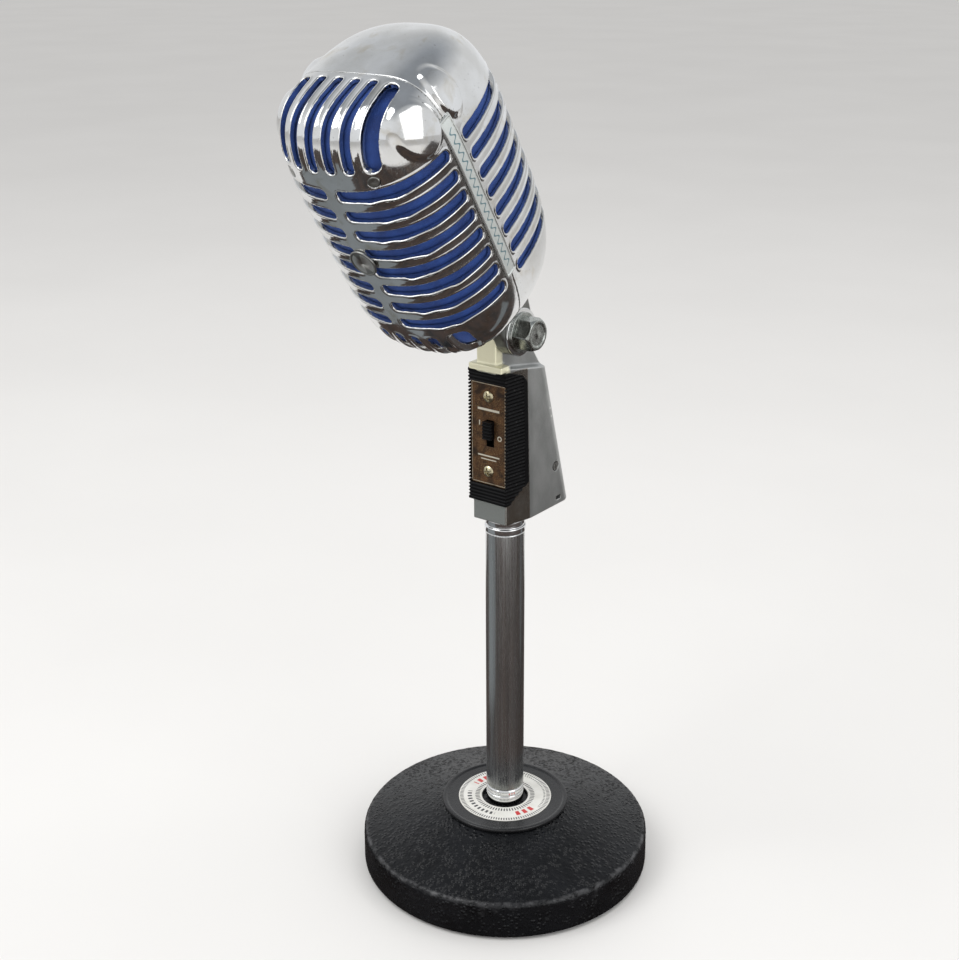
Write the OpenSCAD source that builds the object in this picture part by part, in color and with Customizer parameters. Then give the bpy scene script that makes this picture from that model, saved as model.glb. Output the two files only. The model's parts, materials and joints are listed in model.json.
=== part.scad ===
// Desktop microphone on a weighted stand: a chromed pill-shaped head with slotted
// grilles tilts on a swivel housing that screws onto a straight stem and a round base.
// Origin: centre of the base underside. +Z up, the microphone faces -Y, X is the tilt axis.

/* [Base] */
// Radius of the cast base at its foot
base_r = 73.2; // [60:0.1:90]
// Radius of the base at its upper rim
base_rim_r = 73; // [58:0.5:88]
// Height of the upper rim
base_rim_z = 18; // [12:0.5:22]
// Height of the hub face at the middle of the base
hub_z = 32.4; // [26:0.1:38]
// Radius of the flange disc on the hub
flange_r = 32.2; // [28:0.1:36]
// Outer radius of the printed ring label
label_r = 23.8; // [18:0.1:26]
// Radius of the hole in the flange and the label
hub_hole_r = 11.9; // [10.5:0.1:13]

/* [Stem] */
// Outer radius of the stem tube
stem_r = 9.5; // [9.3:0.1:11]
// Radius of the 5/8 inch threads, over their crests
thread_r = 7.9; // [7.7:0.05:7.95]
// Height where the plain tube starts
tube_z0 = 42.5; // [36:0.5:50]
// Height where the plain tube ends
tube_z1 = 183.5; // [120:0.5:240]

/* [Swivel] */
// Height of the swivel housing's flat lower end above the tube
housing_gap = 7.5; // [6:0.5:12]
// Height of the housing from its lower end to its front ledge
housing_h = 78; // [74:0.5:84]
// Half width of the housing at its front face
front_half = 9.6; // [8:0.1:10]
// Half width of the housing behind the cover, at the lower end
side_half = 13; // [12:0.5:14]
// Half width of the housing behind the cover, at the upper end
side_half_top = 11; // [10:0.5:12]
// Distance of the front face ahead of the stem axis
front_y = 12.3; // [11:0.1:14]
// Distance of the rear face behind the stem axis, at the lower end
rear_y = 38.5; // [36:0.5:41]
// Distance of the rear face behind the stem axis, at the upper end
rear_y_top = 21; // [19:0.5:23]

/* [Head] */
// Forward tilt of the head at rest, in degrees
head_tilt = 32; // [10:1:48]
// Half width of the head
head_a = 37.5; // [36:0.5:40]
// Depth of the front shell ahead of the seam
head_front = 36.5; // [36:0.5:40]
// Depth of the rear shell behind the seam
head_rear = 54; // [50:0.5:57]
// Half length of the head
head_c = 63.5; // [62:0.5:66]
// Wall of the cast shells
shell_t = 2.2; // [1.8:0.1:2.6]
// Thickness of the cloth liners
liner_t = 2.4; // [1.5:0.1:3]
// Distance between the grille slots, centre to centre
slot_pitch = 9.6; // [9.2:0.1:10]
// Height of a grille slot
slot_h = 4.9; // [4:0.1:6]

/* [Hidden] */
$fn = 96;

eps = 0.01;
run = 0.05;                       // running clearance, on the radius
pad_t = 1.5;                      // rubber pad under the base
nest_r = 20;                      // recess under the base for washer and nut
nest_z = 12;                      // ceiling of that recess
stud_z0 = 4;                      // lower end of the base stud
stud_up = 24;                     // length of stud inside the tube
grip_up = 10.5;                   // length of thread inside the housing
housing_z = tube_z1 + housing_gap;
ledge_z = housing_z + housing_h;  // top of the front ledge
ledge_t = 3;
ledge_y = 15.7;                   // front of the ledge ahead of the stem axis
top_rear_z = ledge_z - 7;         // the top face falls towards the rear
bend_y = 2.5;                     // where the sides stop flaring
corner_r = 8;                     // rear corner radius
cover_z0 = housing_z + 10.5;      // lower edge of the ribbed cover
cover_z1 = ledge_z - ledge_t;     // upper edge of the ribbed cover
cover_f = 2.1;                    // front thickness of the cover
cover_t = 1.2;                    // cheek thickness of the cover
groove_pitch = 1.7;
groove_h = 0.7;
groove_d = 0.45;
plate_half = front_half + 0.6;
plate_z0 = cover_z0 + 8.5;
plate_z1 = cover_z1 - 6;
plate_t = 0.6;
plate_y = front_y + run + plate_t; // front of the plate ahead of the stem axis
screw_zs = [plate_z0 + 6.7, plate_z1 - 6.7];
screw_r = 1.2;                    // shank of the plate screws
knob_z = (plate_z0 + plate_z1) / 2 + 2.5; // middle of the knob when switched on
knob_travel = 4;
knob_x = 0.8;
knob_h = 8.5;
knob_half = 2.7;
knob_proud = 3;                   // how far the knob stands out of the plate
shank_half = 2;                   // half width of the knob's shank
shank_h = 7.8;
pivot = [0, -6, ledge_z + 15.5];
bolt_r = 5;
lug_half = 5.5;
lug_r = 8.5;
fibre_t = 0.8;
ear_t = 6.2;
ear_in = lug_half + run + fibre_t;
ear_out = ear_in + ear_t;
ear_r = 11;
flat_t = 1.2;                     // flat washer
lock_t = 1;                       // lock washer
hex_x = ear_out + flat_t + lock_t; // seat of the bolt head and of the nut
hex_t = 7.9;                      // height of the bolt head
hex_r = 8;                      // bolt head, centre to corner
nut_t = 8;
xlr_tilt = atan((rear_y - rear_y_top) / (top_rear_z - housing_z));
xlr_r = 9.55;
xlr_y = rear_y - 2 - xlr_r;       // axis of the connector at the lower face
xlr_depth = 26;
insert_d = [15, 23];              // the connector's core, measured up its bore
seam_v = -14;                     // seam plane of the head, ahead of the pivot
head_w = 86;                      // middle of the head, above the pivot along its axis
n_plan = 2.5;                     // squareness of the plan section
m_front = 4.6;                    // squareness of the front profile
m_rear = 3.8;                     // squareness of the rear profile
m_side = 4.8;                     // squareness of the side profile
rings = 26;
spokes = 56;
rows = 8;
row_w = head_w + (rows - 1) / 2 * slot_pitch; // highest row of slots
spine_half = 2.8;                 // half width of the bar between left and right slots
liner_gap = 0.3;
strip_w = [54, 132];              // lower and upper end of the side strips
strip_v = [seam_v - 4, seam_v + 3];
strip_t = 1;
badge_r = 6.3;
brow_w = 129.5;                     // lower end of the upright slots
brow_v = seam_v - 3;                  // rear end of the upright slots on the crown
rivet_w = 125.4;                  // height of the blank buttons over the slots
bridge_w = 26.8;                  // underside of the bracket's bridge
bridge_t = 3.4;
bridge_half = 17.6;
bridge_v = [-25, 8];
web_v = 16.5;                     // rear edge of the ears where they enter the head
shell_screw_at = [[15.5, -19], [15.5, 4]];
capsule_w = 96;                   // height of the capsule's middle in the head
capsule_r = 19;
capsule_v = [-34, -10];
frame_t = 2;
sheet_half = 10;                  // half width of the capsule's mounting sheet

// ---------- general shapes ----------
module ring(r_out, r_in, z0, z1) difference() {
  translate([0, 0, z0]) cylinder(r = r_out, h = z1 - z0);
  translate([0, 0, z0 - 1]) cylinder(r = r_in, h = z1 - z0 + 2);
}
module x_cyl(r, x0, x1, fn = 64)
  translate([x0, 0, 0]) rotate([0, 90, 0]) cylinder(r = r, h = x1 - x0, $fn = fn);
module y_cyl(r, y0, y1, fn = 48)
  translate([0, y1, 0]) rotate([90, 0, 0]) cylinder(r = r, h = y1 - y0, $fn = fn);
module z_cyl(r, z0, z1, fn = 48) translate([0, 0, z0]) cylinder(r = r, h = z1 - z0, $fn = fn);
module x_ring(r_out, r_in, x0, x1) difference() {
  x_cyl(r_out, x0, x1);
  x_cyl(r_in, x0 - 1, x1 + 1);
}
module box(x0, x1, y0, y1, z0, z1)
  translate([x0, y0, z0]) cube([x1 - x0, y1 - y0, z1 - z0]);
module both_sides() {
  children();
  mirror([1, 0, 0]) children();
}
// A shape drawn in the Y-Z plane and extruded along X.
module side_profile(points, x0, x1)
  translate([x0, 0, 0]) rotate([90, 0, 90]) linear_extrude(x1 - x0) polygon(points);
// The head's own frame: the pivot is its origin, z runs along the head, y to its back.
module head_frame() translate(pivot) rotate([head_tilt, 0, 0]) children();

// ---------- base and stem ----------
module base_casting() color("#1b1b1d") {
  rim = 2.5;
  difference() {
    rotate_extrude($fn = 128) polygon(concat(
      [[0, pad_t], [base_r - 1, pad_t], [base_r, pad_t + 1], [base_rim_r, base_rim_z]],
      [for (k = [1 : 5]) [base_rim_r - rim + rim * cos(k * 15), base_rim_z + rim * sin(k * 15)]],
      [[flange_r, hub_z - 1], [flange_r - 1.5, hub_z], [0, hub_z]]));
    translate([0, 0, pad_t - 1]) cylinder(r = nest_r, h = nest_z - pad_t + 1);
    cylinder(r = thread_r + run, h = hub_z + 1);
  }
}
module foot_pad() color("#141414") z_cyl(base_r - 2.5, 0, pad_t, 128);
module hub_flange() color("#0f0f10") rotate_extrude($fn = 128)
  polygon([[hub_hole_r, hub_z], [flange_r - 1, hub_z], [flange_r, hub_z + 0.6],
           [flange_r, hub_z + 1.4], [flange_r - 0.8, hub_z + 2], [flange_r - 2.2, hub_z + 2],
           [flange_r - 2.6, hub_z + 1.5], [hub_hole_r, hub_z + 1.5]]);
module hub_label() color("#ecebe4") ring(label_r, hub_hole_r, hub_z + 1.5, hub_z + 1.9);
module base_stud() color("#a9a9a6") z_cyl(thread_r, stud_z0, tube_z0 + stud_up, 96);
module stud_washer() color("#9c9c98") ring(16, thread_r + run, nest_z - 1.6, nest_z);
module stud_nut() color("#8d8d8a") difference() {
  z_cyl(14, stud_z0 + 1, nest_z - 1.6, 6);
  cylinder(r = thread_r + run, h = nest_z);
}
module stem_collar() color("#d5d6d8") rotate_extrude()
  polygon([[thread_r + run, hub_z], [stem_r, hub_z], [stem_r, tube_z0 - 1.2],
           [stem_r - 0.5, tube_z0 - 0.7], [stem_r - 0.5, tube_z0], [thread_r + run, tube_z0]]);
module stem_tube() color("#b9bbbd") rotate_extrude()
  polygon([[thread_r + run, tube_z0], [stem_r - 0.4, tube_z0], [stem_r, tube_z0 + 0.4],
           [stem_r, tube_z1 - 0.4], [stem_r - 0.4, tube_z1], [thread_r + run, tube_z1]]);
module stem_top_thread() color("#a9a9a6")
  z_cyl(thread_r, tube_z1 - stud_up, housing_z + grip_up, 96);
module lock_ring() color("#d5d6d8") rotate_extrude()
  polygon([[thread_r + run, tube_z1], [stem_r + 0.1, tube_z1], [stem_r + 0.4, tube_z1 + 0.4],
           [stem_r + 0.4, tube_z1 + 2.8], [stem_r - 0.3, tube_z1 + 3.3], [stem_r - 0.3, tube_z1 + 4],
           [stem_r + 0.1, tube_z1 + 4.4], [stem_r + 0.1, housing_z - 0.9],
           [stem_r - 0.4, housing_z - 0.4], [thread_r + run, housing_z - 0.4]]);

// ---------- swivel housing ----------
// Plan outline grown by o at the sides and f at the front: straight front,
// flaring cheeks and rounded rear corners.
function plan_points(half, back, o, f) = let (
    c = [half + o - corner_r, back + o - corner_r],
    right = concat([[front_half + o, -front_y - f], [half + o, bend_y]],
                   [for (a = [0 : 15 : 90]) c + corner_r * [cos(a), sin(a)]]),
    n = len(right))
  concat(right, [for (i = [n - 1 : -1 : 0]) [-right[i][0], right[i][1]]]);
module housing_block(o = 0, f = 0) hull() {
  translate([0, 0, housing_z]) linear_extrude(eps)
    polygon(plan_points(side_half, rear_y, o, f));
  translate([0, 0, ledge_z]) linear_extrude(eps)
    polygon(plan_points(side_half_top, rear_y_top - 1.5, o, f));
}
// Neck that the pivot bolt passes through, with its long slope down to the rear.
module lug() {
  eye = [pivot[1], pivot[2]];
  foot = [rear_y_top - 0.5, top_rear_z];
  d = foot - eye;
  a = atan2(d[1], d[0]) + acos(lug_r / norm(d));
  translate(pivot) x_cyl(lug_r, -lug_half, lug_half);
  side_profile([[-front_y + 1, ledge_z - 4], [eye[0] - lug_r, ledge_z - 1],
                [eye[0] - lug_r, eye[1]], eye, eye + lug_r * [cos(a), sin(a)], foot,
                [foot[0] - 2, top_rear_z - 4]], -lug_half, lug_half);
}
// The connector's own frame: z runs up its bore from the housing's lower face.
module xlr_frame() translate([0, xlr_y, housing_z]) rotate([xlr_tilt, 0, 0]) children();
module swivel_housing() color("#a7a9a8") difference() {
  union() {
    intersection() {
      housing_block();
      side_profile([[-front_y - 1, housing_z], [-front_y - 1, ledge_z - 0.6],
                    [rear_y_top, top_rear_z], [rear_y + 1, top_rear_z - 4],
                    [rear_y + 1, housing_z]], -20, 20);
    }
    side_profile([[-front_y + 1, cover_z1], [-ledge_y + 0.6, cover_z1],
                  [-ledge_y, cover_z1 + 0.6], [-ledge_y, ledge_z - 0.6],
                  [-ledge_y + 0.6, ledge_z], [-front_y + 1, ledge_z - 0.8]],
                 -front_half - 0.1, front_half + 0.1);
    lug();
  }
  z_cyl(thread_r + run, housing_z - 1, housing_z + grip_up + 1, 96);
  xlr_frame() {
    z_cyl(xlr_r, -6, xlr_depth, 96);
    z_cyl(4, xlr_depth - 1, xlr_depth + 10);
  }
  translate(pivot) x_cyl(bolt_r + run, -20, 20);
  // pocket for the slide switch, and the channel from it to the connector
  box(-6.5, 6.5, -front_y - 1, -2, knob_z - 16, knob_z + 12);
  box(-3, 3, -2.5, 16.5, knob_z - 16, knob_z - 10);
  for (z = screw_zs) translate([0, 0, z]) y_cyl(screw_r + run, -front_y - 1, -3);
  // set screw hole, and the small window low on the side
  translate([0, xlr_y - 3, housing_z + 20]) x_cyl(1.95, 6, 20);
  box(8, side_half + 2, xlr_y - 2.7, xlr_y + 0.9, housing_z + 2.6, housing_z + 4.4);
}
module switch_cover() color("#17171a") difference() {
  intersection() {
    difference() {
      housing_block(cover_t, cover_f);
      housing_block(run, run);
    }
    side_profile([[-front_y - 4, cover_z0], [-front_y + 0.5, cover_z0],
                  [bend_y - 1.6, cover_z0 + 9], [bend_y - 1.6, cover_z1 - 6.5],
                  [bend_y - 4.5, cover_z1 - 3], [-front_y + 1.5, cover_z1 - run],
                  [-front_y - 4, cover_z1 - run]], -20, 20);
  }
  box(-plate_half - run, plate_half + run, -front_y - 4, -front_y + 1,
      plate_z0 - run, plate_z1 + run);
  // grip ribs: shallow grooves across the front bars and both cheeks
  intersection() {
    difference() {
      housing_block(cover_t + 1, cover_f + 1);
      housing_block(cover_t - groove_d, cover_f - groove_d);
    }
    for (z = [cover_z0 + 1.5 : groove_pitch : cover_z1 - 1])
      box(-20, 20, -front_y - 4, bend_y - 3, z, z + groove_h);
  }
}
// The opening the knob's shank runs in, with clear of it on each side.
module slide_slot(clear, y0, y1)
  box(knob_x - shank_half - clear, knob_x + shank_half + clear, y0, y1,
      knob_z - knob_travel - shank_h / 2 - 0.6, knob_z + shank_h / 2 + 0.6);
module switch_plate() color("#6b3a22") difference() {
  box(-plate_half, plate_half, -plate_y, -plate_y + plate_t, plate_z0, plate_z1);
  slide_slot(0.25, -plate_y - 1, -plate_y + 2);
  for (z = screw_zs) translate([0, 0, z]) y_cyl(screw_r + run, -plate_y - 1, -plate_y + 2);
}
module switch_plate_screws() color("#c9c3a8") for (z = screw_zs) translate([0, 0, z]) difference() {
  union() {
    y_cyl(2.4, -plate_y - 0.8, -plate_y);
    y_cyl(1.9, -plate_y - 1.3, -plate_y - 0.8);
    y_cyl(screw_r, -plate_y, -4);
  }
  for (a = [20, 110]) rotate([0, a, 0]) box(-1.3, 1.3, -plate_y - 2, -plate_y - 0.6, -0.3, 0.3);
}
module switch_body() color("#2a2a2c") difference() {
  box(-5.5, 6, -front_y, -4.5, knob_z - 12, knob_z + 9);
  slide_slot(0.15, -front_y - 1, -8.5);
}
module switch_knob() color("#101012") union() {
  difference() {
    box(knob_x - knob_half, knob_x + knob_half, -plate_y - knob_proud, -plate_y - run,
        knob_z - knob_h / 2, knob_z + knob_h / 2);
    for (k = [-2 : 2]) box(-9, 9, -plate_y - knob_proud - 1, -plate_y - knob_proud + 0.7,
                           knob_z + 1.6 * k - 0.4, knob_z + 1.6 * k + 0.4);
  }
  box(knob_x - shank_half, knob_x + shank_half, -plate_y - 1, -8.7,
      knob_z - shank_h / 2, knob_z + shank_h / 2);
}
module switch_wires() color("#b03028") both_sides() translate([1.3, 0, 0]) {
  wire_d = (knob_z - 13 - housing_z) / cos(xlr_tilt);
  turn_y = xlr_y - wire_d * sin(xlr_tilt);
  translate([0, 0, knob_z - 13]) y_cyl(0.7, -4, turn_y, 24);
  translate([0, turn_y, knob_z - 13]) sphere(r = 0.7, $fn = 24);
  xlr_frame() z_cyl(0.7, xlr_depth + 0.2, wire_d, 24);
}
pin_at = [[-3.5, -2], [3.5, -2], [0, 3.5]];
module xlr_insert() color("#151517") xlr_frame() difference() {
  z_cyl(xlr_r - run, insert_d[0], insert_d[1], 96);
  for (p = pin_at) translate(p) z_cyl(1.2 + run, insert_d[0] - 1, insert_d[1] + 1, 32);
}
module xlr_pins() color("#c8b06a") xlr_frame() for (p = pin_at) translate(p)
  rotate_extrude($fn = 32) polygon([[0, 3], [0.7, 3], [1.2, 3.8], [1.2, 25], [0, 25]]);
module xlr_set_screw() color("#6c6c6a") translate([0, xlr_y - 3, housing_z + 20]) difference() {
  x_cyl(1.9, 9.7, 12.5, 32);
  for (a = [0, 90]) rotate([a, 0, 0]) box(11.8, 14, -1.2, 1.2, -0.25, 0.25);
}

// ---------- pivot ----------
module head_bracket() color("#8f9192") head_frame() difference() {
  union() {
    both_sides() {
      x_cyl(ear_r, ear_in, ear_out);
      side_profile([[-ear_r, 0], [ear_r, 0], [web_v, bridge_w - 3], [web_v, bridge_w + 1],
                    [seam_v + 1.5, bridge_w + 1]], ear_in, ear_out);
    }
    box(-bridge_half, bridge_half, bridge_v[0], bridge_v[1], bridge_w, bridge_w + bridge_t);
  }
  x_cyl(bolt_r + run, -20, 20);
  both_sides() for (p = shell_screw_at) translate(p) z_cyl(1.35, 20, 40, 24);
}
module friction_washers() color("#3b2f2a") head_frame() both_sides()
  x_ring(8.2, bolt_r + run, lug_half + run, ear_in);
module pivot_washers() color("#c2c4c4") head_frame() both_sides()
  x_ring(11, bolt_r + run, ear_out, ear_out + flat_t);
module lock_washers() color("#8d8f90") head_frame() both_sides()
  x_ring(9.3, bolt_r + run, ear_out + flat_t, hex_x);
module pivot_bolt() color("#9fa29f") head_frame() {
  x_cyl(bolt_r, -hex_x - nut_t - 2, hex_x + 1);
  intersection() {
    x_cyl(hex_r, hex_x, hex_x + hex_t, 6);
    rotate([0, 90, 0]) rotate_extrude($fn = 64)
      polygon([[0, hex_x], [hex_r - 0.7, hex_x], [hex_r + 0.1, hex_x + 0.6],
               [hex_r + 0.1, hex_x + hex_t - 1.8], [7, hex_x + hex_t - 0.5],
               [6.4, hex_x + hex_t], [0, hex_x + hex_t]]);
  }
}
module pivot_nut() color("#9fa29f") head_frame() difference() {
  x_cyl(9.2, -hex_x - nut_t, -hex_x, 6);
  x_cyl(bolt_r + run, -hex_x - nut_t - 1, -hex_x + 1);
}

// ---------- head ----------
function sgn_pow(x, e) = sign(x) * pow(abs(x), e);
// Share of the full width or depth that is left at height e of the half length.
function taper(e, m) = pow(max(0, 1 - pow(abs(e), m)), 1 / m);
// Point of the head's skin, moved in by inset, at latitude lat and longitude lon.
function skin(lat, lon, inset) = let (
    e = sgn_pow(sin(lat), 0.5),
    s = sgn_pow(sin(lon), 2 / n_plan),
    depth = s < 0 ? (head_front - inset) * taper(e, m_front) : (head_rear - inset) * taper(e, m_rear))
  [(head_a - inset) * taper(e, m_side) * sgn_pow(cos(lon), 2 / n_plan),
   seam_v + s * depth, head_w + (head_c - inset) * e];
module head_solid(inset) {
  grid = [for (i = [1 : rings]) for (j = [0 : spokes - 1])
    skin(-90 + 180 * i / (rings + 1), 360 * j / spokes, inset)];
  low = len(grid);
  at = function (i, j) i * spokes + j % spokes;
  polyhedron(
    concat(grid, [[0, seam_v, head_w - head_c + inset], [0, seam_v, head_w + head_c - inset]]),
    concat(
      [for (j = [0 : spokes - 1]) [low, at(0, j), at(0, j + 1)]],
      [for (i = [0 : rings - 2]) for (j = [0 : spokes - 1]) each
        [[at(i, j), at(i + 1, j), at(i + 1, j + 1)], [at(i, j), at(i + 1, j + 1), at(i, j + 1)]]],
      [for (j = [0 : spokes - 1]) [low + 1, at(rings - 1, j + 1), at(rings - 1, j)]]));
}
module hollow_head(outer, wall) difference() {
  head_solid(outer);
  head_solid(outer + wall);
}
module front_side() box(-60, 60, -80, seam_v - run, 0, 170);
module rear_side() box(-60, 60, seam_v + run, 60, 0, 170);
module screw_holes() both_sides() for (p = shell_screw_at) translate(p) z_cyl(1.35, 10, 40, 24);
module front_grille() color("#c9cbcd") head_frame() difference() {
  intersection() {
    hollow_head(0, shell_t);
    front_side();
  }
  both_sides() {
    for (k = [0 : rows - 1])
      box(spine_half, 60, -70, seam_v - 5.5, row_w - k * slot_pitch - slot_h / 2,
          row_w - k * slot_pitch + slot_h / 2);
    // upright slots over the brow and under the chin: two narrow and one wide on each side
    for (x = [4.3, 13]) {
      box(x - 2.2, x + 2.2, -70, brow_v, brow_w, 170);
      box(x - 2.2, x + 2.2, -70, -38, 0, 43.5);
    }
    box(19.2, 25, -70, brow_v, brow_w + 1, 170);
    box(20.5, 27.5, -70, -34, 0, 44.5);
    translate([21, 0, rivet_w]) y_cyl(2.3, -60, -36, 32);
  }
  translate([0, 0, head_w]) y_cyl(1.25, -60, -40, 32);
  screw_holes();
}
module rear_grille() color("#c9cbcd") head_frame() difference() {
  intersection() {
    hollow_head(0, shell_t);
    rear_side();
  }
  both_sides() for (k = [0 : rows - 1])
    box(5, 60, seam_v + 5, 60, row_w - k * slot_pitch - slot_h / 2,
        row_w - k * slot_pitch + slot_h / 2);
  // mouth for the bracket's ears
  box(-ear_out - 0.4, ear_out + 0.4, seam_v - 1, web_v + 1.5, 10, 40);
  screw_holes();
}
module bracket_room() {
  box(-bridge_half - 0.5, bridge_half + 0.5, bridge_v[0] - 0.5, bridge_v[1] + 2, 10, 31);
  box(-ear_out - 0.4, ear_out + 0.4, seam_v - 1, web_v + 1.5, 10, 31);
}
module front_liner() color("#2747b8") head_frame() difference() {
  intersection() {
    hollow_head(shell_t + liner_gap, liner_t);
    front_side();
  }
  bracket_room();
  both_sides() translate([21, 0, rivet_w]) y_cyl(2.5, -60, -36, 32);
}
module rear_liner() color("#2747b8") head_frame() difference() {
  intersection() {
    hollow_head(shell_t + liner_gap, liner_t);
    rear_side();
  }
  bracket_room();
}
module side_strips() color("#d3d8d6") head_frame() intersection() {
  hollow_head(-strip_t - run, strip_t);
  both_sides() box(20, 60, strip_v[0], strip_v[1], strip_w[0], strip_w[1]);
}
module front_badge() color("#8d8f90") head_frame() translate([0, 0, head_w]) {
  y_cyl(badge_r, seam_v - head_front - 1.4, seam_v - head_front - run, 48);
  y_cyl(1.2, seam_v - head_front - run - eps, seam_v - head_front + shell_t, 32);
}
module shell_rivets() color("#6f7172") head_frame() both_sides() translate([21, 0, rivet_w])
  y_cyl(2.2, -45.9, -42, 32);
module shell_screws() color("#9a9c9b") head_frame() both_sides() for (p = shell_screw_at) translate(p) {
  z_cyl(2.2, 20.8, 22.4, 32);
  z_cyl(1.3, 22.4 - eps, bridge_w + bridge_t, 24);
}

// ---------- capsule, inside the head ----------
module capsule_frame() color("#9b9d9c") head_frame() difference() {
  union() {
    box(-sheet_half, sheet_half, capsule_v[1], capsule_v[1] + frame_t,
        bridge_w + bridge_t, capsule_w + 18);
    box(-sheet_half, sheet_half, capsule_v[1], bridge_v[1] - 2,
        bridge_w + bridge_t, bridge_w + bridge_t + frame_t);
  }
  both_sides() translate([6, 0, capsule_w]) y_cyl(1.3, -12, 0, 24);
  translate([0, 0, capsule_w - 14]) y_cyl(3.2, -12, -6, 32);
}
module capsule() color("#b8b9b6") head_frame() difference() {
  translate([0, 0, capsule_w]) union() {
    y_cyl(capsule_r, capsule_v[0] + 3, capsule_v[1]);
    y_cyl(capsule_r - 2, capsule_v[0], capsule_v[0] + 3);
  }
  both_sides() translate([6, 0, capsule_w]) y_cyl(1.3, -18, -9, 24);
}
module capsule_ring() color("#1a1a1a") head_frame() translate([0, 0, capsule_w]) difference() {
  y_cyl(capsule_r + 2.6, capsule_v[0] + 8, capsule_v[0] + 15);
  y_cyl(capsule_r + run, capsule_v[0] + 7, capsule_v[0] + 16);
}
module capsule_screws() color("#a9a9a6") head_frame() both_sides() translate([6, 0, capsule_w]) {
  y_cyl(2.4, capsule_v[1] + frame_t, capsule_v[1] + frame_t + 1.5, 32);
  y_cyl(1.25, -16, capsule_v[1] + frame_t + eps, 24);
}
module capsule_wires() color("#d8b12e") head_frame() both_sides()
  translate([1.4, 0, capsule_w - 14]) {
    y_cyl(0.8, capsule_v[1], -4, 24);
    translate([0, -4, 0]) sphere(r = 0.8, $fn = 24);
    translate([0, -4, 0]) z_cyl(0.8, bridge_w + bridge_t + frame_t - capsule_w + 14, 0, 24);
  }

base_casting();
foot_pad();
hub_flange();
hub_label();
base_stud();
stud_washer();
stud_nut();
stem_collar();
stem_tube();
stem_top_thread();
lock_ring();
swivel_housing();
switch_cover();
switch_plate();
switch_plate_screws();
switch_body();
switch_wires();
xlr_insert();
xlr_pins();
xlr_set_screw();
switch_knob();
head_bracket();
friction_washers();
pivot_washers();
lock_washers();
pivot_bolt();
pivot_nut();
front_grille();
rear_grille();
front_liner();
rear_liner();
side_strips();
front_badge();
shell_rivets();
shell_screws();
capsule_frame();
capsule();
capsule_ring();
capsule_screws();
capsule_wires();
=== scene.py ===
"""Looks of a desktop microphone on a weighted stand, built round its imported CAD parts.

Turned parts are lathed, castings and mouldings are meshed from rounded distance fields,
and the blue cloth behind the grilles is a stretched sheet. Parts that are hidden inside
keep their CAD shape. Lengths are in millimetres until a mesh is made.
"""
import json
import math
from functools import partialmethod

import bpy
import numpy as np
import openvdb
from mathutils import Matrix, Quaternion, Vector, noise
from numpy import clip, exp, hypot, maximum, minimum, where


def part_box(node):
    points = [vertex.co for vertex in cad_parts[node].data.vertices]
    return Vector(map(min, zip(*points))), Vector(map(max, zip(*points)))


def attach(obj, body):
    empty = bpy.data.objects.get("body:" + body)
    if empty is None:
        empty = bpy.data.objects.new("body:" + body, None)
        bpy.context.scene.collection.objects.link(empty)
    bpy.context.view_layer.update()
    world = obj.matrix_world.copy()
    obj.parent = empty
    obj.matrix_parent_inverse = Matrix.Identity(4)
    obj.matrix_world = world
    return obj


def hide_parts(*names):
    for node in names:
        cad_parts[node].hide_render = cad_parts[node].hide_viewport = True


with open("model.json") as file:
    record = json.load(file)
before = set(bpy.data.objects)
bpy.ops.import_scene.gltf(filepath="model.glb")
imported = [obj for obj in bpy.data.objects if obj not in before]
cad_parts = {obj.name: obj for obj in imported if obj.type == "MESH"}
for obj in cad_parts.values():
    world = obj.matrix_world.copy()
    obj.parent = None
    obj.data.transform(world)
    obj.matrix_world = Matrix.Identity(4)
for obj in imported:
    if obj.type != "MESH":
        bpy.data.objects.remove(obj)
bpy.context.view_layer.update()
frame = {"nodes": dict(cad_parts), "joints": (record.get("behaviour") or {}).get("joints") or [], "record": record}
MM = 0.001
BODY = {n: body for body, ns in frame["record"]["behaviour"]["bodies"].items() for n in ns}
LOOKS = {}


def span(node):
    """Lowest and highest corner of a CAD node, in mm."""
    low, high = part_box(node)
    return np.array(low) / MM, np.array(high) / MM


# ---- sizes from the frame
(BASE_R, FLANGE_R, LABEL_R, STEM_R, PLATE_HALF, BADGE_R, EAR_IN, WASHER_OUT, HEX_SEAT,
 HEX_END) = (span(node)[1][0] for node in (
     "base_casting", "hub_flange", "hub_label", "stem_tube", "switch_plate", "front_badge",
     "friction_washers", "pivot_washers", "lock_washers", "pivot_bolt"))
HUB_Z = span("base_casting")[1][2]
RIM_R, RIM_Z = 73.0, 18.0
HUB_HOLE_R, THREAD_R = 11.9, 7.95
TUBE_Z0, TUBE_Z1 = span("stem_tube")[0][2], span("stem_tube")[1][2]
HOUSING_Z = span("swivel_housing")[0][2]
COVER_Z0, LEDGE_BASE = span("switch_cover")[0][2], span("switch_cover")[1][2]
LEDGE_Z = LEDGE_BASE + 3
PLATE_Z0, PLATE_Z1 = span("switch_plate")[0][2], span("switch_plate")[1][2]
PLATE_Y = span("switch_plate")[0][1]
KNOB_LOW, KNOB_HIGH = span("switch_knob")
KNOB_X, KNOB_Z = (KNOB_LOW[0] + KNOB_HIGH[0]) / 2, (KNOB_LOW[2] + KNOB_HIGH[2]) / 2
HEAD_JOINT = next(j for j in frame["joints"] if j["name"] == "head_tilt")
PIVOT = np.array(HEAD_JOINT["pos_m"]) / MM
HEAD_TILT = math.radians(32)

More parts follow.
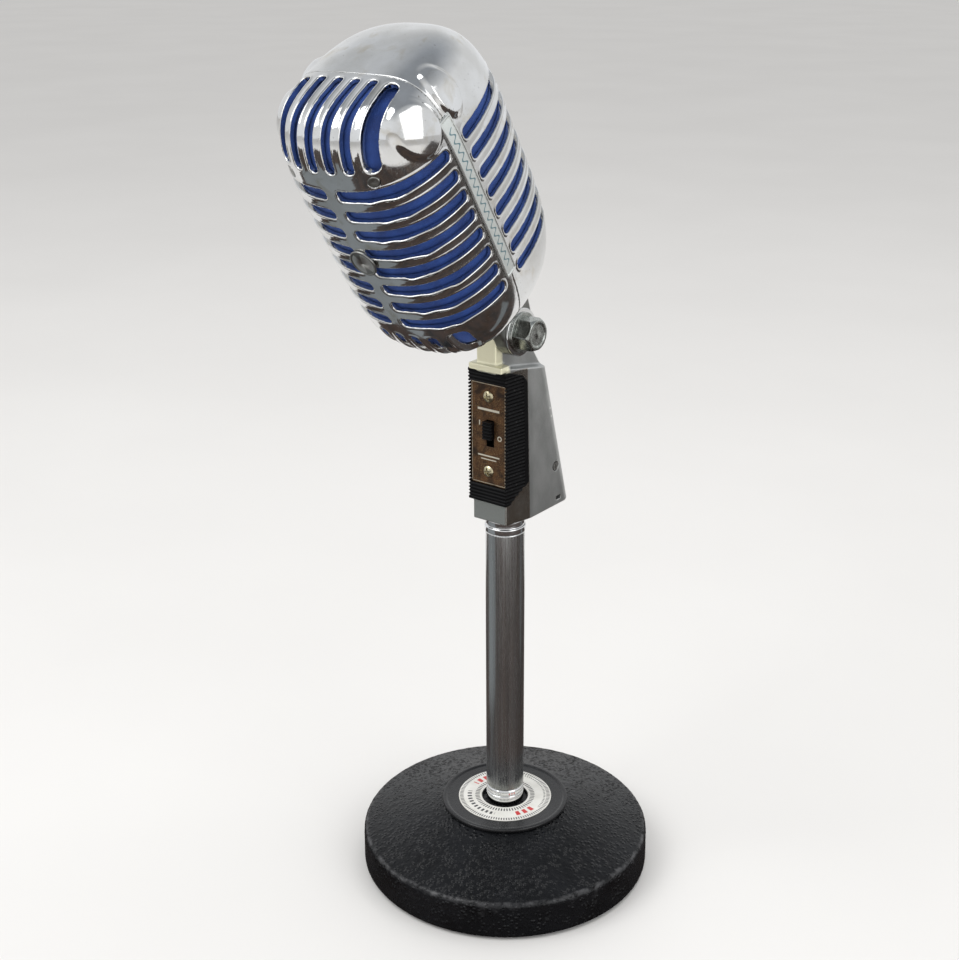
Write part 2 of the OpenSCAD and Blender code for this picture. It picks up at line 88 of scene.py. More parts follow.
# swivel housing
FRONT_HALF, FRONT_Y, BEND_Y = PLATE_HALF - 0.6, -12.3, 2.5
SIDE_HALF, SIDE_HALF_TOP = 13.0, 11.0
REAR_Y, REAR_Y_TOP = 38.5, 19.5
TOP_REAR_Z = LEDGE_Z - 7
LUG_HALF, LUG_R = 5.5, 8.5
WASHER = 1.2
LEDGE_HALF, LEDGE_Y, GILT_Y = 9.4, (-15.7, -8.5), (-10.5, -9.0)
BOLT_R, BOLT_PLAY, EAR_R = 5.0, 0.05, 11.0
BOLT_FLATS, BOLT_CHAMFER_R, NUT_FLATS, NUT_CHAMFER_R = 6.93, 7.0, 7.95, 9.3
EAR_OUT = WASHER_OUT - WASHER
XLR_TILT = math.atan(17.5 / 71)
XLR_Y, XLR_R = REAR_Y - 11.55, 9.55
RIB_PITCH, RIB_DEPTH = 1.7, 0.6

# head, in its own frame: x across, v towards its back, w along it
SEAM = -14.0
MID = 86.0
HALF_WIDTH, FRONT_DEPTH, REAR_DEPTH, HALF_LENGTH = 37.5, 36.5, 54.0, 63.5
ROUND, TALL, TALL_FRONT, TALL_REAR = 2.5, 4.8, 4.6, 3.8
SHELL, CLOTH_GAP, CLOTH_THICK = 2.2, 0.45, 1.4
ROWS, ROW_PITCH, SLOT_H = 8, 9.6, 4.9
ROW_TOP = MID + (ROWS - 1) / 2 * ROW_PITCH
SPINE_HALF = 2.8
BROW_W, BROW_V = 129.5, SEAM - 3
WIDE_SLOT, WIDE_HALF = 22.1, 2.9
WEB_V, MOUTH_HALF = 16.5, EAR_OUT + 0.4
BRIDGE_HALF, BRIDGE_V, BRIDGE_W = 17.6, (-25, 8), (26.8, 30.2)
SHELL_SCREW_X, SHELL_SCREW_V, SHELL_SCREW_R = 15.5, (-19, 4), 1.35
RIVET_X, RIVET_W, RIVET_R = 21, 125.4, 2.15
STRIP_LOW, STRIP_HIGH = (SEAM - 4, 54), (SEAM + 3, 132)
SCREW_Z = (PLATE_Z0 + 6.7, PLATE_Z1 - 6.7)


# ---- meshes
def new_object(name, data):
    """Object that shows the data, linked into the scene."""
    thing = bpy.data.objects.new(name, data)
    bpy.context.scene.collection.objects.link(thing)
    return thing


def piece(name, points, faces, node, normals=None, place=None):
    """Object made of points in mm, which stands for CAD node and rides on its body."""
    points = np.asarray(points, float)
    if place is not None:
        points = points @ place[0].T + place[1]
        normals = None if normals is None else normals @ place[0].T
    mesh = bpy.data.meshes.new(name)
    mesh.from_pydata((points * MM).tolist(), [], faces)
    mesh.polygons.foreach_set("use_smooth", [True] * len(mesh.polygons))
    mesh.update()
    if normals is not None:
        mesh.normals_split_custom_set_from_vertices(normals.tolist())
    thing = new_object(name, mesh)
    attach(thing, BODY[node])
    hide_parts(node)
    return thing


def slope(field, points, h=0.04):
    """Gradient of a field at the points."""
    steps = np.eye(3) * h
    return np.stack([(field(*(points + s).T) - field(*(points - s).T)) / (2 * h)
                     for s in steps], 1)


def sculpt(node, field, low, high, step, place=None, mirrored=False):
    """Piece whose surface is where the field is zero, inside the box from low to high."""
    step = step
    axes = [np.arange(a, b + step, step) for a, b in zip(low, high)]
    values = field(*np.meshgrid(*axes, indexing="ij", sparse=True)).astype(np.float32)
    grid = openvdb.FloatGrid(9.0)
    grid.copyFromArray(clip(values, -9, 9))
    points, quads = grid.convertToQuads(0.0)
    points, quads = points.astype(float) * step + np.array(low), quads.astype(int)
    for _ in range(3):
        g = slope(field, points)
        size = maximum((g * g).sum(1), 0.05)
        move = -g * (field(*points.T) / size)[:, None]
        length = np.linalg.norm(move, axis=1)[:, None]
        points += move * minimum(1, 0.5 * step / maximum(length, 1e-9))
    g = slope(field, points)
    normals = g / maximum(np.linalg.norm(g, axis=1)[:, None], 1e-9)
    a, b, c, d = (points[quads[:, k]] for k in range(4))
    facing = (np.cross(c - a, d - b) * normals[quads].sum(1)).sum(1).sum()
    if facing < 0:
        quads = quads[:, ::-1]
    if mirrored:
        count = len(points)
        flip = np.array([-1, 1, 1])
        points = np.concatenate([points, points * flip])
        normals = np.concatenate([normals, normals * flip])
        quads = np.concatenate([quads, quads[:, ::-1] + count])
    return piece(node + "_look", points, quads.tolist(), node, normals, place)


def meet(r, *fields):
    """Where all the fields are negative, with outer edges rounded to r."""
    top = fields[0] + r
    inner = top
    outer = maximum(top, 0) ** 2
    for f in fields[1:]:
        inner = maximum(inner, f + r)
        outer = outer + maximum(f + r, 0) ** 2
    return minimum(inner, 0) + np.sqrt(outer) - r


def join(r, *fields):
    """Where any of the fields is negative, with inner corners filled to r."""
    return -meet(r, *[-f for f in fields])


def box_field(x, y, z, low, high, r):
    """Box between two corners, with rounded edges."""
    return meet(r, *[abs(t - (a + b) / 2) - (b - a) / 2
                     for t, a, b in zip((x, y, z), low, high)])


def convex(y, z, corners, r):
    """Prism of a convex outline in the Y-Z plane, given clockwise or not."""
    middle = np.mean(corners, 0)
    sides = []
    for p, q in zip(corners, corners[1:] + corners[:1]):
        n = np.array([q[1] - p[1], p[0] - q[0]]) / math.dist(p, q)
        if np.dot(n, middle - p) > 0:
            n = -n
        sides.append((y - p[0]) * n[0] + (z - p[1]) * n[1])
    return meet(r, *sides)


def rounded(corners, steps=5):
    """Outline through (radius, height, fillet) corners, with its corners rounded."""
    out = []
    count = len(corners)
    for i, (r, z, fillet) in enumerate(corners):
        here = np.array([r, z])
        before = np.array(corners[i - 1][:2]) - here
        after = np.array(corners[(i + 1) % count][:2]) - here
        la, lb = np.linalg.norm(before), np.linalg.norm(after)
        reach = min(fillet, 0.45 * la, 0.45 * lb)
        if reach <= 0:
            out.append(here)
            continue
        a, b = here + before / la * reach, here + after / lb * reach
        for t in np.linspace(0, 1, steps):
            out.append((1 - t) ** 2 * a + 2 * t * (1 - t) * here + t * t * b)
    return np.array(out)


def refine(outline, longest):
    """Closed outline with its long runs divided."""
    out = []
    for p, q in zip(outline, np.roll(outline, -1, axis=0)):
        parts = max(1, int(math.ceil(np.linalg.norm(q - p) / longest)))
        out += [p + (q - p) * k / parts for k in range(parts)]
    return np.array(out)


def lathe(node, corners, spokes=160, longest=99, place=None, bumps=None, side=""):
    """Ring turned about Z from a closed outline of (radius, height, fillet) corners."""
    outline = refine(rounded(corners), longest)
    turn = np.linspace(0, 2 * math.pi, spokes, endpoint=False)
    points = np.stack([np.outer(outline[:, 0], np.cos(turn)),
                       np.outer(outline[:, 0], np.sin(turn)),
                       np.outer(outline[:, 1], np.ones(spokes))], 2)
    if bumps:
        points = bumps(points)
    rows = len(outline)
    i, j = np.meshgrid(np.arange(rows), np.arange(spokes), indexing="ij")
    at = lambda a, b: ((a % rows) * spokes + b % spokes).ravel()
    quads = np.stack([at(i, j), at(i, j + 1), at(i + 1, j + 1), at(i + 1, j)], 1)
    area = (outline[:, 0] * np.roll(outline[:, 1], -1)
            - np.roll(outline[:, 0], -1) * outline[:, 1]).sum()
    if area < 0:
        quads = quads[:, ::-1]
    return piece(node + "_look" + side, points.reshape(-1, 3), quads.tolist(), node,
                 place=place)


def sculpt_all(parts, place=None):
    """Pieces listed as node, field, low corner, high corner, mesh step and look."""
    for node, field, low, high, step, look in parts:
        put(sculpt(node, field, low, high, step, place), look)


def turn_about_x(angle):
    c, s = math.cos(angle), math.sin(angle)
    return np.array([[1, 0, 0], [0, c, -s], [0, s, c]])


IN_HEAD = (turn_about_x(HEAD_TILT), PIVOT)


# ---- shader nodes
class Shader:
    """Adds nodes to one node tree. A value is a number, a tuple or a node's socket."""

    def __init__(self, tree):
        self.tree = tree

    def feed(self, node, values):
        """Sets or links inputs of a node, by name or by number."""
        for key, value in values.items():
            if isinstance(value, bpy.types.NodeSocket):
                self.tree.links.new(value, node.inputs[key])
            elif value is not None:
                node.inputs[key].default_value = value

    def add(self, kind, numbered=(), **values):
        """New node; each named value sets or feeds an input, or else an attribute."""
        node = self.tree.nodes.new("ShaderNode" + kind)
        named = {}
        for key, value in values.items():
            if key in node.inputs:
                named[key] = value
            else:
                setattr(node, key, value)
        self.feed(node, {**named, **dict(enumerate(numbered))})
        return node

    def maths(self, operation, *values):
        return self.add("Math", values, operation=operation).outputs[0]

    times = partialmethod(maths, "MULTIPLY")
    plus = partialmethod(maths, "ADD")
    minus = partialmethod(maths, "SUBTRACT")
    max = partialmethod(maths, "MAXIMUM")
    abs = partialmethod(maths, "ABSOLUTE")

    def split(self, vector):
        """The three parts of a vector."""
        return self.add("SeparateXYZ", Vector=vector).outputs

    def from_axis(self, place):
        """Distance of a place from the Z axis."""
        flat = self.add("VectorMath", (place, (1, 1, 0)), operation="MULTIPLY").outputs[0]
        return self.add("VectorMath", (flat,), operation="LENGTH").outputs["Value"]

    def grain(self, place, size, detail=4.0, warp=0.0):
        """Noise whose lumps are about size mm across."""
        return self.add("TexNoise", Vector=place, Scale=1 / (size * MM), Detail=detail,
                        Distortion=warp).outputs["Fac"]

    def between(self, value, low, high, out_low=0.0, out_high=1.0):
        """Value carried from one range to another, and held inside it."""
        node = self.add("MapRange", clamp=True)
        self.feed(node, {"Value": value, "From Min": low, "From Max": high,
                         "To Min": out_low, "To Max": out_high})
        return node.outputs["Result"]

    def below(self, value, low, high):
        """1 where the value is under the range, falling to 0 above it."""
        return self.between(value, low, high, 1.0, 0.0)

    def mix(self, share, a, b):
        """Colour a, turned towards colour b by a share."""
        node = self.add("Mix", data_type="RGBA")
        values = [(*v, 1) if isinstance(v, tuple) else v for v in (share, a, b)]
        self.feed(node, dict(zip((0, 6, 7), values)))
        return node.outputs[2]

    def bump(self, height, depth, under=None):
        """Bump whose full height is depth mm."""
        node = self.add("Bump", Height=height, Distance=depth * MM, Strength=1.0)
        self.feed(node, {"Normal": under})
        return node.outputs["Normal"]


def new_material(name):
    """Node builder and main shader node of a new material, which LOOKS keeps by name."""
    LOOKS[name] = bpy.data.materials.new(name)
    LOOKS[name].use_nodes = True
    s = Shader(LOOKS[name].node_tree)
    return s, s.tree.nodes["Principled BSDF"]


def finish(name, colour, shade, metallic=0.0, rough=(0.3, 0.4), size=1.0, cloud=12.0,
           stretch=(1, 1, 1), bump=0.01, bump_size=None, wear_and_glint=None, coat=0.0, shine=0.5,
           extra=None, relief=None):
    """Procedural material: colour clouds, uneven roughness, fine bump, and pointy edges painted lighter, partly as
    worn edges and partly as painted highlight.
    """
    s, skin = new_material(name)
    place = s.add("TexCoord").outputs["Object"]
    drawn = s.add("Mapping", Vector=place, Scale=stretch).outputs[0]
    tone = s.between(s.grain(drawn, cloud, 6), 0.35, 0.65)
    colour_now = s.mix(tone, colour, shade)
    rough_now = s.between(s.grain(drawn, size, 6), 0.3, 0.7, *rough)
    if wear_and_glint:
        # Pointy edges are painted a lighter colour: partly worn edges, partly painted highlight.
        edge = s.add("NewGeometry").outputs["Pointiness"]
        ragged = s.times(s.minus(s.grain(place, 1.5, 6), 0.5), 0.02)
        rub_and_glint = s.between(s.plus(edge, ragged), wear_and_glint[1], wear_and_glint[2])
        colour_now = s.mix(rub_and_glint, colour_now, wear_and_glint[0])
    metal_now = []
    if extra:
        colour_now, rough_now, *metal_now = extra(s, place, colour_now, rough_now)
    normal = s.bump(s.grain(drawn, bump_size or size, 5), bump)
    if relief:
        height, depth = relief(s, place)
        normal = s.bump(height, depth, under=normal)
    s.feed(skin, {"Base Color": colour_now, "Metallic": (metal_now or [metallic])[0],
                  "Roughness": rough_now, "Specular IOR Level": shine, "Coat Weight": coat,
                  "Coat Roughness": 0.15, "Normal": normal})


def paint(thing, look):
    thing.data.materials.clear()
    thing.data.materials.append(LOOKS[look])
    return thing


def put(thing, look):
    """Paints a look piece."""
    return paint(thing, look)


# ---- materials
finish("bright_chrome", (0.80, 0.81, 0.82), (0.70, 0.70, 0.69), 1.0, (0.03, 0.10),
       size=0.8, cloud=14, bump=0.012, bump_size=3.0)


def stained(s, place, colour, rough):
    """Old plating: yellowish bloom and small dark pits."""
    bloom = s.between(s.grain(place, 9, 5, 0.6), 0.55, 0.72)
    colour = s.mix(s.times(bloom, 0.45), colour, (0.52, 0.46, 0.34))
    pits = s.between(s.grain(place, 0.9, 2), 0.70, 0.76)
    colour = s.mix(s.times(pits, 0.7), colour, (0.10, 0.09, 0.08))
    return colour, s.plus(rough, s.times(pits, 0.3))


finish("grille_chrome", (0.80, 0.81, 0.82), (0.66, 0.66, 0.65), 1.0, (0.05, 0.13),
       size=0.7, cloud=16, bump=0.02, bump_size=4.0, extra=stained)


def painted_ring(s, place, colour, rough):
    """A lighter line is painted round the base's top rim, partly as rubbed paint and partly as painted highlight;
    roughness is left as it is.
    """
    radius = s.from_axis(place)
    wobble = s.times(s.grain(place, 6, 6), 0.002)
    near = s.abs(s.minus(s.plus(radius, wobble), (RIM_R - 0.2) * MM))
    # Painted highlight, partly rubbed paint: a thin lighter line just inside the rim's edge, in patches.
    rub_and_glint = s.below(near, 0.0002, 0.0011)
    patch = s.between(s.grain(place, 5, 6), 0.40, 0.62)
    rub_and_glint = s.times(rub_and_glint, s.times(patch, 0.5))
    return s.mix(rub_and_glint, colour, (0.12, 0.12, 0.125)), rough


def pebbles(s, place):
    """Raised dots of the hammer paint, crowded in places."""
    cells = s.add("TexVoronoi", Vector=place, Scale=1 / (2.0 * MM),
                  Randomness=1.0).outputs["Distance"]
    dots = s.below(cells, 0.12, 0.50)
    crowd = s.between(s.grain(place, 9, 4), 0.38, 0.60, 0.15, 1.0)
    return s.times(dots, crowd), 0.55


# The base's pointy edges and its rim line are painted lighter, partly as worn paint and partly as painted
# highlight.
finish("hammered_black", (0.0035, 0.0037, 0.0045), (0.007, 0.0075, 0.009), 0.0,
       (0.20, 0.32), size=1.2, cloud=20, bump=0.20, bump_size=2.4, shine=0.27,
       wear_and_glint=((0.08, 0.08, 0.085), 0.54, 0.62), extra=painted_ring, relief=pebbles)
finish("pad_rubber", (0.012, 0.012, 0.012), (0.025, 0.024, 0.023), 0.0,
       (0.65, 0.9), size=0.6, bump=0.03)
finish("satin_black", (0.004, 0.004, 0.005), (0.010, 0.010, 0.011), 0.0,
       (0.22, 0.36), size=0.8, bump=0.10, bump_size=1.4, coat=0.1)


def stained_foot(s, place, colour, rough):
    """The tube is dulled for a few millimetres above its lower end."""
    height = s.split(place)[2]
    ragged = s.plus(height, s.times(s.grain(place, 4, 4), 0.004))
    foot = s.between(ragged, (TUBE_Z0 + 2) * MM, (TUBE_Z0 + 8) * MM, 0.75, 0.0)
    return s.mix(foot, colour, (0.10, 0.105, 0.085)), rough


finish("stem_chrome", (0.70, 0.71, 0.71), (0.54, 0.55, 0.55), 1.0, (0.16, 0.32),
       size=0.6, cloud=6, stretch=(1, 1, 0.012), bump=0.012, bump_size=0.5,
       extra=stained_foot)
finish("zinc_steel", (0.52, 0.52, 0.50), (0.40, 0.39, 0.37), 1.0, (0.25, 0.45),
       size=0.6, cloud=5, bump=0.02)


def polished_front(s, place, colour, rough):
    """The housing's front and lug are polished; the lug and ledge fronts are painted a pale gilt yellow,
    brightened as painted light; the front section's sideways faces are painted dark brown as painted shade.
    """
    axes = s.split(place)
    normal = s.split(s.add("NewGeometry").outputs["Normal"])
    ahead = s.below(axes[1], (BEND_Y - 0.4) * MM, (BEND_Y + 0.4) * MM)
    low = s.below(axes[2], (LEDGE_BASE - 1) * MM, LEDGE_BASE * MM)
    # Painted shade: faces of the front section that point sideways, below the ledge, are painted dark brown in
    # patches.
    cheek = s.times(s.times(ahead, low), s.between(s.abs(normal[0]), 0.6, 0.9))
    shade_mottle = s.between(s.grain(place, 5, 5), 0.35, 0.65, 0.55, 0.9)
    colour = s.mix(s.times(cheek, shade_mottle), colour, (0.20, 0.165, 0.13))
    proud = s.below(axes[1], (FRONT_Y + 0.1) * MM, (FRONT_Y + 0.6) * MM)
    high = s.minus(1.0, low)
    # The lug and ledge fronts are painted a pale gilt yellow: their own tone, brightened towards white as painted
    # light where the head shades them.
    tint_and_painted_light = s.times(high, s.below(axes[1], GILT_Y[0] * MM, GILT_Y[1] * MM))
    colour = s.mix(proud, colour, (0.54, 0.55, 0.52))
    colour = s.mix(tint_and_painted_light, colour, (1.0, 0.97, 0.72))
    smooth = s.max(s.max(proud, tint_and_painted_light), cheek)
    rough = s.times(rough, s.between(smooth, 0, 1, 1.0, 0.5))
    return colour, rough, s.between(tint_and_painted_light, 0, 1, 0.9, 0.3)


finish("satin_die_cast", (0.47, 0.48, 0.475), (0.36, 0.37, 0.365), 0.9,
       (0.34, 0.52), size=0.45, cloud=9, bump=0.07, bump_size=0.6,
       stretch=(1, 1, 0.55), wear_and_glint=((0.80, 0.80, 0.77), 0.52, 0.60),
       extra=polished_front)
finish("black_plastic", (0.002, 0.002, 0.0025), (0.004, 0.004, 0.0045), 0.0,
       (0.34, 0.50), size=0.5, bump=0.012, shine=0.14,
       wear_and_glint=((0.03, 0.03, 0.03), 0.56, 0.68))
finish("plated_screw", (0.72, 0.66, 0.46), (0.46, 0.40, 0.26), 1.0, (0.18, 0.36),
       size=0.4, cloud=1.6, bump=0.02)
finish("gold_contact", (0.80, 0.62, 0.28), (0.62, 0.46, 0.20), 1.0, (0.15, 0.3),
       size=0.4, cloud=2, bump=0.01)
finish("wire_red", (0.45, 0.02, 0.015), (0.30, 0.015, 0.01), 0.0, (0.35, 0.5), size=0.5)
finish("fibre", (0.045, 0.03, 0.025), (0.08, 0.055, 0.04), 0.0, (0.6, 0.85),
       size=0.3, cloud=1.5, bump=0.05)
finish("cast_bracket", (0.34, 0.345, 0.33), (0.24, 0.24, 0.225), 1.0,
       (0.28, 0.5), size=0.8, cloud=6, bump=0.07, bump_size=1.6,
       wear_and_glint=((0.7, 0.7, 0.68), 0.52, 0.60))
finish("bolt_steel", (0.50, 0.52, 0.50), (0.30, 0.315, 0.295), 1.0, (0.16, 0.32),
       size=0.5, cloud=3, bump=0.022, bump_size=1.4,
       wear_and_glint=((0.70, 0.70, 0.66), 0.52, 0.62))
finish("capsule_can", (0.60, 0.60, 0.58), (0.46, 0.46, 0.44), 1.0, (0.25, 0.4),
       size=0.5, cloud=5, bump=0.015)
finish("rubber_ring", (0.014, 0.014, 0.014), (0.03, 0.03, 0.03), 0.0,
       (0.6, 0.85), size=0.5, bump=0.03)


def strip_print(s, place, colour, rough):
    """The strip's sunk face is enamelled pale, with a plain blue running wave."""
    local = s.add("VectorRotate", rotation_type="X_AXIS", Vector=place,
                  Center=tuple(PIVOT * MM), Angle=-HEAD_TILT).outputs[0]
    axes = s.split(local)
    across = s.times(s.minus(axes[1], (PIVOT[1] + SEAM - 0.5) * MM), 1 / MM)
    along = s.times(s.minus(axes[2], (PIVOT[2] + 93) * MM), 1 / MM)
    inside = s.times(s.below(s.abs(across), 2.5, 2.7), s.below(s.abs(along), 37.9, 38.2))
    wave = s.times(s.maths("SINE", s.times(along, 1.5)), 1.1)
    off = s.abs(s.minus(across, wave))
    line = s.times(s.below(off, 0.30, 0.50), s.below(s.abs(along), 34.0, 34.3))
    colour = s.mix(inside, colour, (0.80, 0.84, 0.82))
    colour = s.mix(s.times(line, 0.8), colour, (0.05, 0.20, 0.26))
    return colour, s.plus(rough, s.times(inside, 0.2))


finish("strip_metal", (0.76, 0.78, 0.77), (0.62, 0.64, 0.62), 0.8, (0.10, 0.24),
       size=0.5, cloud=4, bump=0.03, bump_size=1.2, extra=strip_print)


def plate_print(s, place, colour, rough):
    """Mottled copper tones, and the thin light line printed inside the plate's edge."""
    axes = s.split(place)
    speckle = s.between(s.grain(place, 0.5, 5), 0.52, 0.72)
    colour = s.mix(s.times(speckle, 0.6), colour, (0.52, 0.34, 0.15))
    soot = s.between(s.grain(place, 7, 4, 0.4), 0.50, 0.66)
    colour = s.mix(s.times(soot, 0.85), colour, (0.030, 0.018, 0.012))
    middle = (PLATE_Z0 + PLATE_Z1) / 2 * MM
    half = (PLATE_Z1 - PLATE_Z0) / 2 * MM
    inset = 0.75 * MM
    across = s.minus(s.abs(axes[0]), PLATE_HALF * MM)
    along = s.minus(s.abs(s.minus(axes[2], middle)), half)
    off = s.abs(s.plus(s.max(across, along), inset))
    line = s.below(off, 0.08 * MM, 0.2 * MM)
    worn = s.between(s.grain(place, 2, 5), 0.35, 0.5, 0.35, 1.0)
    colour = s.mix(s.times(line, worn), colour, (0.62, 0.55, 0.42))

    def mark(x, z, half_x, half_z, hollow=0.0):
        """Painted bar, or a ring when it is hollow, centred on the plate at x and z mm."""
        dx = s.minus(s.times(axes[0], 1 / MM), x)
        dz = s.minus(s.times(axes[2], 1 / MM), z)
        if hollow:
            far = s.maths("SQRT", s.plus(s.times(dx, dx), s.times(dz, dz)))
            off = s.abs(s.minus(far, half_x))
            return s.below(off, hollow - 0.05, hollow + 0.05)
        off = s.max(s.minus(s.abs(dx), half_x), s.minus(s.abs(dz), half_z))
        return s.below(off, -0.05, 0.05)

    # generic switch marks: a bar by the upper stop, a ring by the lower one, three rules
    marks = [mark(-5.2, KNOB_Z + 2.5, 0.28, 1.2), mark(6.3, KNOB_Z - 3.5, 1.0, 0, 0.25),
             mark(0, KNOB_Z - 13.2, 6.2, 0.35), mark(0, KNOB_Z - 14.9, 4.4, 0.25),
             mark(0, KNOB_Z + 9.4, 6.2, 0.55)]
    ink = marks[0]
    for other in marks[1:]:
        ink = s.max(ink, other)
    return s.mix(ink, colour, (0.72, 0.68, 0.56)), rough


finish("copper_plate", (0.125, 0.058, 0.024), (0.060, 0.030, 0.015), 0.45,
       (0.26, 0.46), size=0.4, cloud=3.5, bump=0.03, bump_size=0.5,
       extra=plate_print)


def label_print(s, place, colour, rough):
    """Generic marks on the hub label: hatch rings, dashes, and two groups of red bars."""
    axes = s.split(place)
    radius = s.times(s.from_axis(place), 1 / MM)
    angle = s.maths("ARCTAN2", axes[1], axes[0])

    def band(r, half):
        off = s.abs(s.minus(radius, r))
        return s.below(off, half - 0.06, half + 0.06)

    def strokes(count, duty):
        wave = s.maths("FRACT", s.times(angle, count / (2 * math.pi)))
        return s.maths("LESS_THAN", wave, duty)

    def sector(centre, half):
        turned = s.maths("WRAP", s.minus(angle, centre), math.pi, -math.pi)
        return s.maths("LESS_THAN", s.abs(turned), half)

    ink = s.max(s.times(band(LABEL_R - 1.5, 0.9), strokes(110, 0.45)),
                s.times(band(LABEL_R - 9.6, 1.1), strokes(64, 0.45)))
    ink = s.max(ink, s.times(s.times(band(LABEL_R - 3.4, 0.5), strokes(96, 0.4)),
                             sector(math.radians(70), 1.2)))
    dashes = s.times(band(LABEL_R - 5.6, 1.1), strokes(46, 0.5))
    low = sector(math.radians(-112), math.radians(42))
    colour = s.mix(s.max(ink, s.times(dashes, low)), colour, (0.03, 0.03, 0.035))
    for centre in (math.radians(-20), math.radians(165)):
        bars = s.times(s.times(band(LABEL_R - 5.6, 1.7), strokes(30, 0.55)),
                       sector(centre, math.radians(17)))
        colour = s.mix(bars, colour, (0.55, 0.03, 0.03))
    return colour, rough


finish("printed_label", (0.80, 0.79, 0.75), (0.70, 0.69, 0.64), 0.0, (0.3, 0.45),
       size=0.6, cloud=6, bump=0.008, coat=0.3, extra=label_print)


def cloth_finish():
    """Royal blue grille cloth: a plain weave, thread by thread, with a soft sheen."""
    s, skin = new_material("blue_cloth")
    flat = s.add("UVMap").outputs[0]
    place = s.add("TexCoord").outputs["Object"]
    axes = s.split(flat)
    thread = 0.45
    waves = [s.maths("SINE", s.times(axis, math.pi / thread / MM))
             for axis in axes[:2]]
    weave = s.times(*waves)
    lift = s.between(weave, -1, 1)
    tuft = s.grain(place, 0.35, 3)
    cloud = s.between(s.grain(place, 7, 5), 0.35, 0.65)
    colour = s.mix(cloud, (0.008, 0.036, 0.18), (0.016, 0.066, 0.30))
    # Painted shade: the low points of the weave, between the threads, are painted darker.
    colour = s.mix(s.times(s.between(weave, -0.9, 0.1, 1, 0),
                                      0.55), colour, (0.004, 0.013, 0.10))
    colour = s.mix(s.between(tuft, 0.55, 0.75, 0, 0.45), colour, (0.12, 0.22, 0.66))
    ragged = s.between(tuft, 0.3, 0.7, 0.6, 0.9)
    rough = s.bump(tuft, 0.12)
    s.feed(skin, {"Base Color": colour, "Roughness": ragged, "Sheen Weight": 0.35,
                  "Sheen Roughness": 0.4, "Sheen Tint": (0.35, 0.5, 1.0, 1),
                  "Normal": s.bump(lift, 0.12, under=rough)})


cloth_finish()


# ---- base and stem
def hammer(points):
    """Low pebbles of the hammer paint, over the outer faces only."""
    r = hypot(points[..., 0], points[..., 1])
    outer = (r > FLANGE_R + 0.5) & (points[..., 2] > 1.6)
    for i, j in zip(*np.nonzero(outer)):
        p = Vector(points[i, j]) / 2.6
        points[i, j] += np.array([points[i, j, 0], points[i, j, 1], r[i, j]]) / r[i, j] \
            * 0.09 * noise.noise(p)
    return points


def build_stand():
    put(lathe("base_casting", [
        (8, HUB_Z, 0), (8, 12, 0), (20, 12, 0.6), (20, 1.5, 0.6), (BASE_R, 1.5, 1.4),
        (RIM_R, RIM_Z + 1.9, 2.8), (FLANGE_R + 0.9, HUB_Z - 0.9, 1.2),
        (FLANGE_R - 1.5, HUB_Z, 0.8)],
        600, 0.8, bumps=hammer), "hammered_black")
    put(lathe("hub_flange", [
        (HUB_HOLE_R, HUB_Z, 0.1), (FLANGE_R - 0.3, HUB_Z, 0.3), (FLANGE_R, HUB_Z + 0.8, 0.5),
        (FLANGE_R - 0.3, HUB_Z + 2.0, 0.7), (FLANGE_R - 1.9, HUB_Z + 2.0, 0.5),
        (FLANGE_R - 2.6, HUB_Z + 1.5, 0.4), (HUB_HOLE_R, HUB_Z + 1.5, 0.2)], 240), "satin_black")
    put(lathe("hub_label", [
        (HUB_HOLE_R, HUB_Z + 1.5, 0.05), (LABEL_R, HUB_Z + 1.5, 0.05),
        (LABEL_R, HUB_Z + 1.9, 0.15), (HUB_HOLE_R, HUB_Z + 1.9, 0.15)], 240), "printed_label")
    z, r = TUBE_Z0, STEM_R
    put(lathe("stem_collar", [
        (THREAD_R, HUB_Z, 0), (r, HUB_Z, 0.2), (r, z - 4.2, 0.3), (r - 0.35, z - 3.9, 0.2),
        (r - 0.35, z - 3.4, 0.2), (r, z - 3.1, 0.3), (r, z - 1.2, 0.4),
        (r - 0.5, z - 0.6, 0.2), (r - 0.5, z, 0.1), (THREAD_R, z, 0)]), "bright_chrome")
    put(lathe("stem_tube", [
        (THREAD_R, z, 0), (r - 0.3, z, 0.3), (r, z + 0.6, 0.4), (r, TUBE_Z1 - 0.6, 0.4),
        (r - 0.3, TUBE_Z1, 0.3), (THREAD_R, TUBE_Z1, 0)], longest=20), "stem_chrome")
    z = TUBE_Z1
    put(lathe("lock_ring", [
        (THREAD_R, z, 0), (r + 0.1, z, 0.2), (r + 0.4, z + 0.4, 0.3), (r + 0.4, z + 2.8, 0.4),
        (r - 0.3, z + 3.3, 0.3), (r - 0.3, z + 4.0, 0.3), (r + 0.2, z + 4.4, 0.3),
        (r + 0.2, z + 6.4, 0.4), (r - 0.4, z + 7.1, 0.2), (THREAD_R, z + 7.1, 0)]),
        "bright_chrome")


# ---- swivel
def housing_faces(x, y, z, o=0.0, f=0.0):
    """Faces of the housing's tapered block, grown by o at the sides and f at the front."""
    rise = clip((z - HOUSING_Z) / (LEDGE_Z - HOUSING_Z), 0, 1)
    half = SIDE_HALF + (SIDE_HALF_TOP - SIDE_HALF) * rise + o
    rear = REAR_Y + (REAR_Y_TOP - REAR_Y) * rise + o
    x = abs(x)
    front = FRONT_Y - f - y
    run, out = BEND_Y - FRONT_Y + f, half - FRONT_HALF - o
    cheek = ((x - FRONT_HALF - o) * run - (y - FRONT_Y + f) * out) / hypot(run, out)
    qx, qy = x - half + 8, y - rear + 8
    back = hypot(maximum(qx, 0), maximum(qy, 0)) \
        + minimum(maximum(qx, qy), 0) - 8
    return front, cheek, back


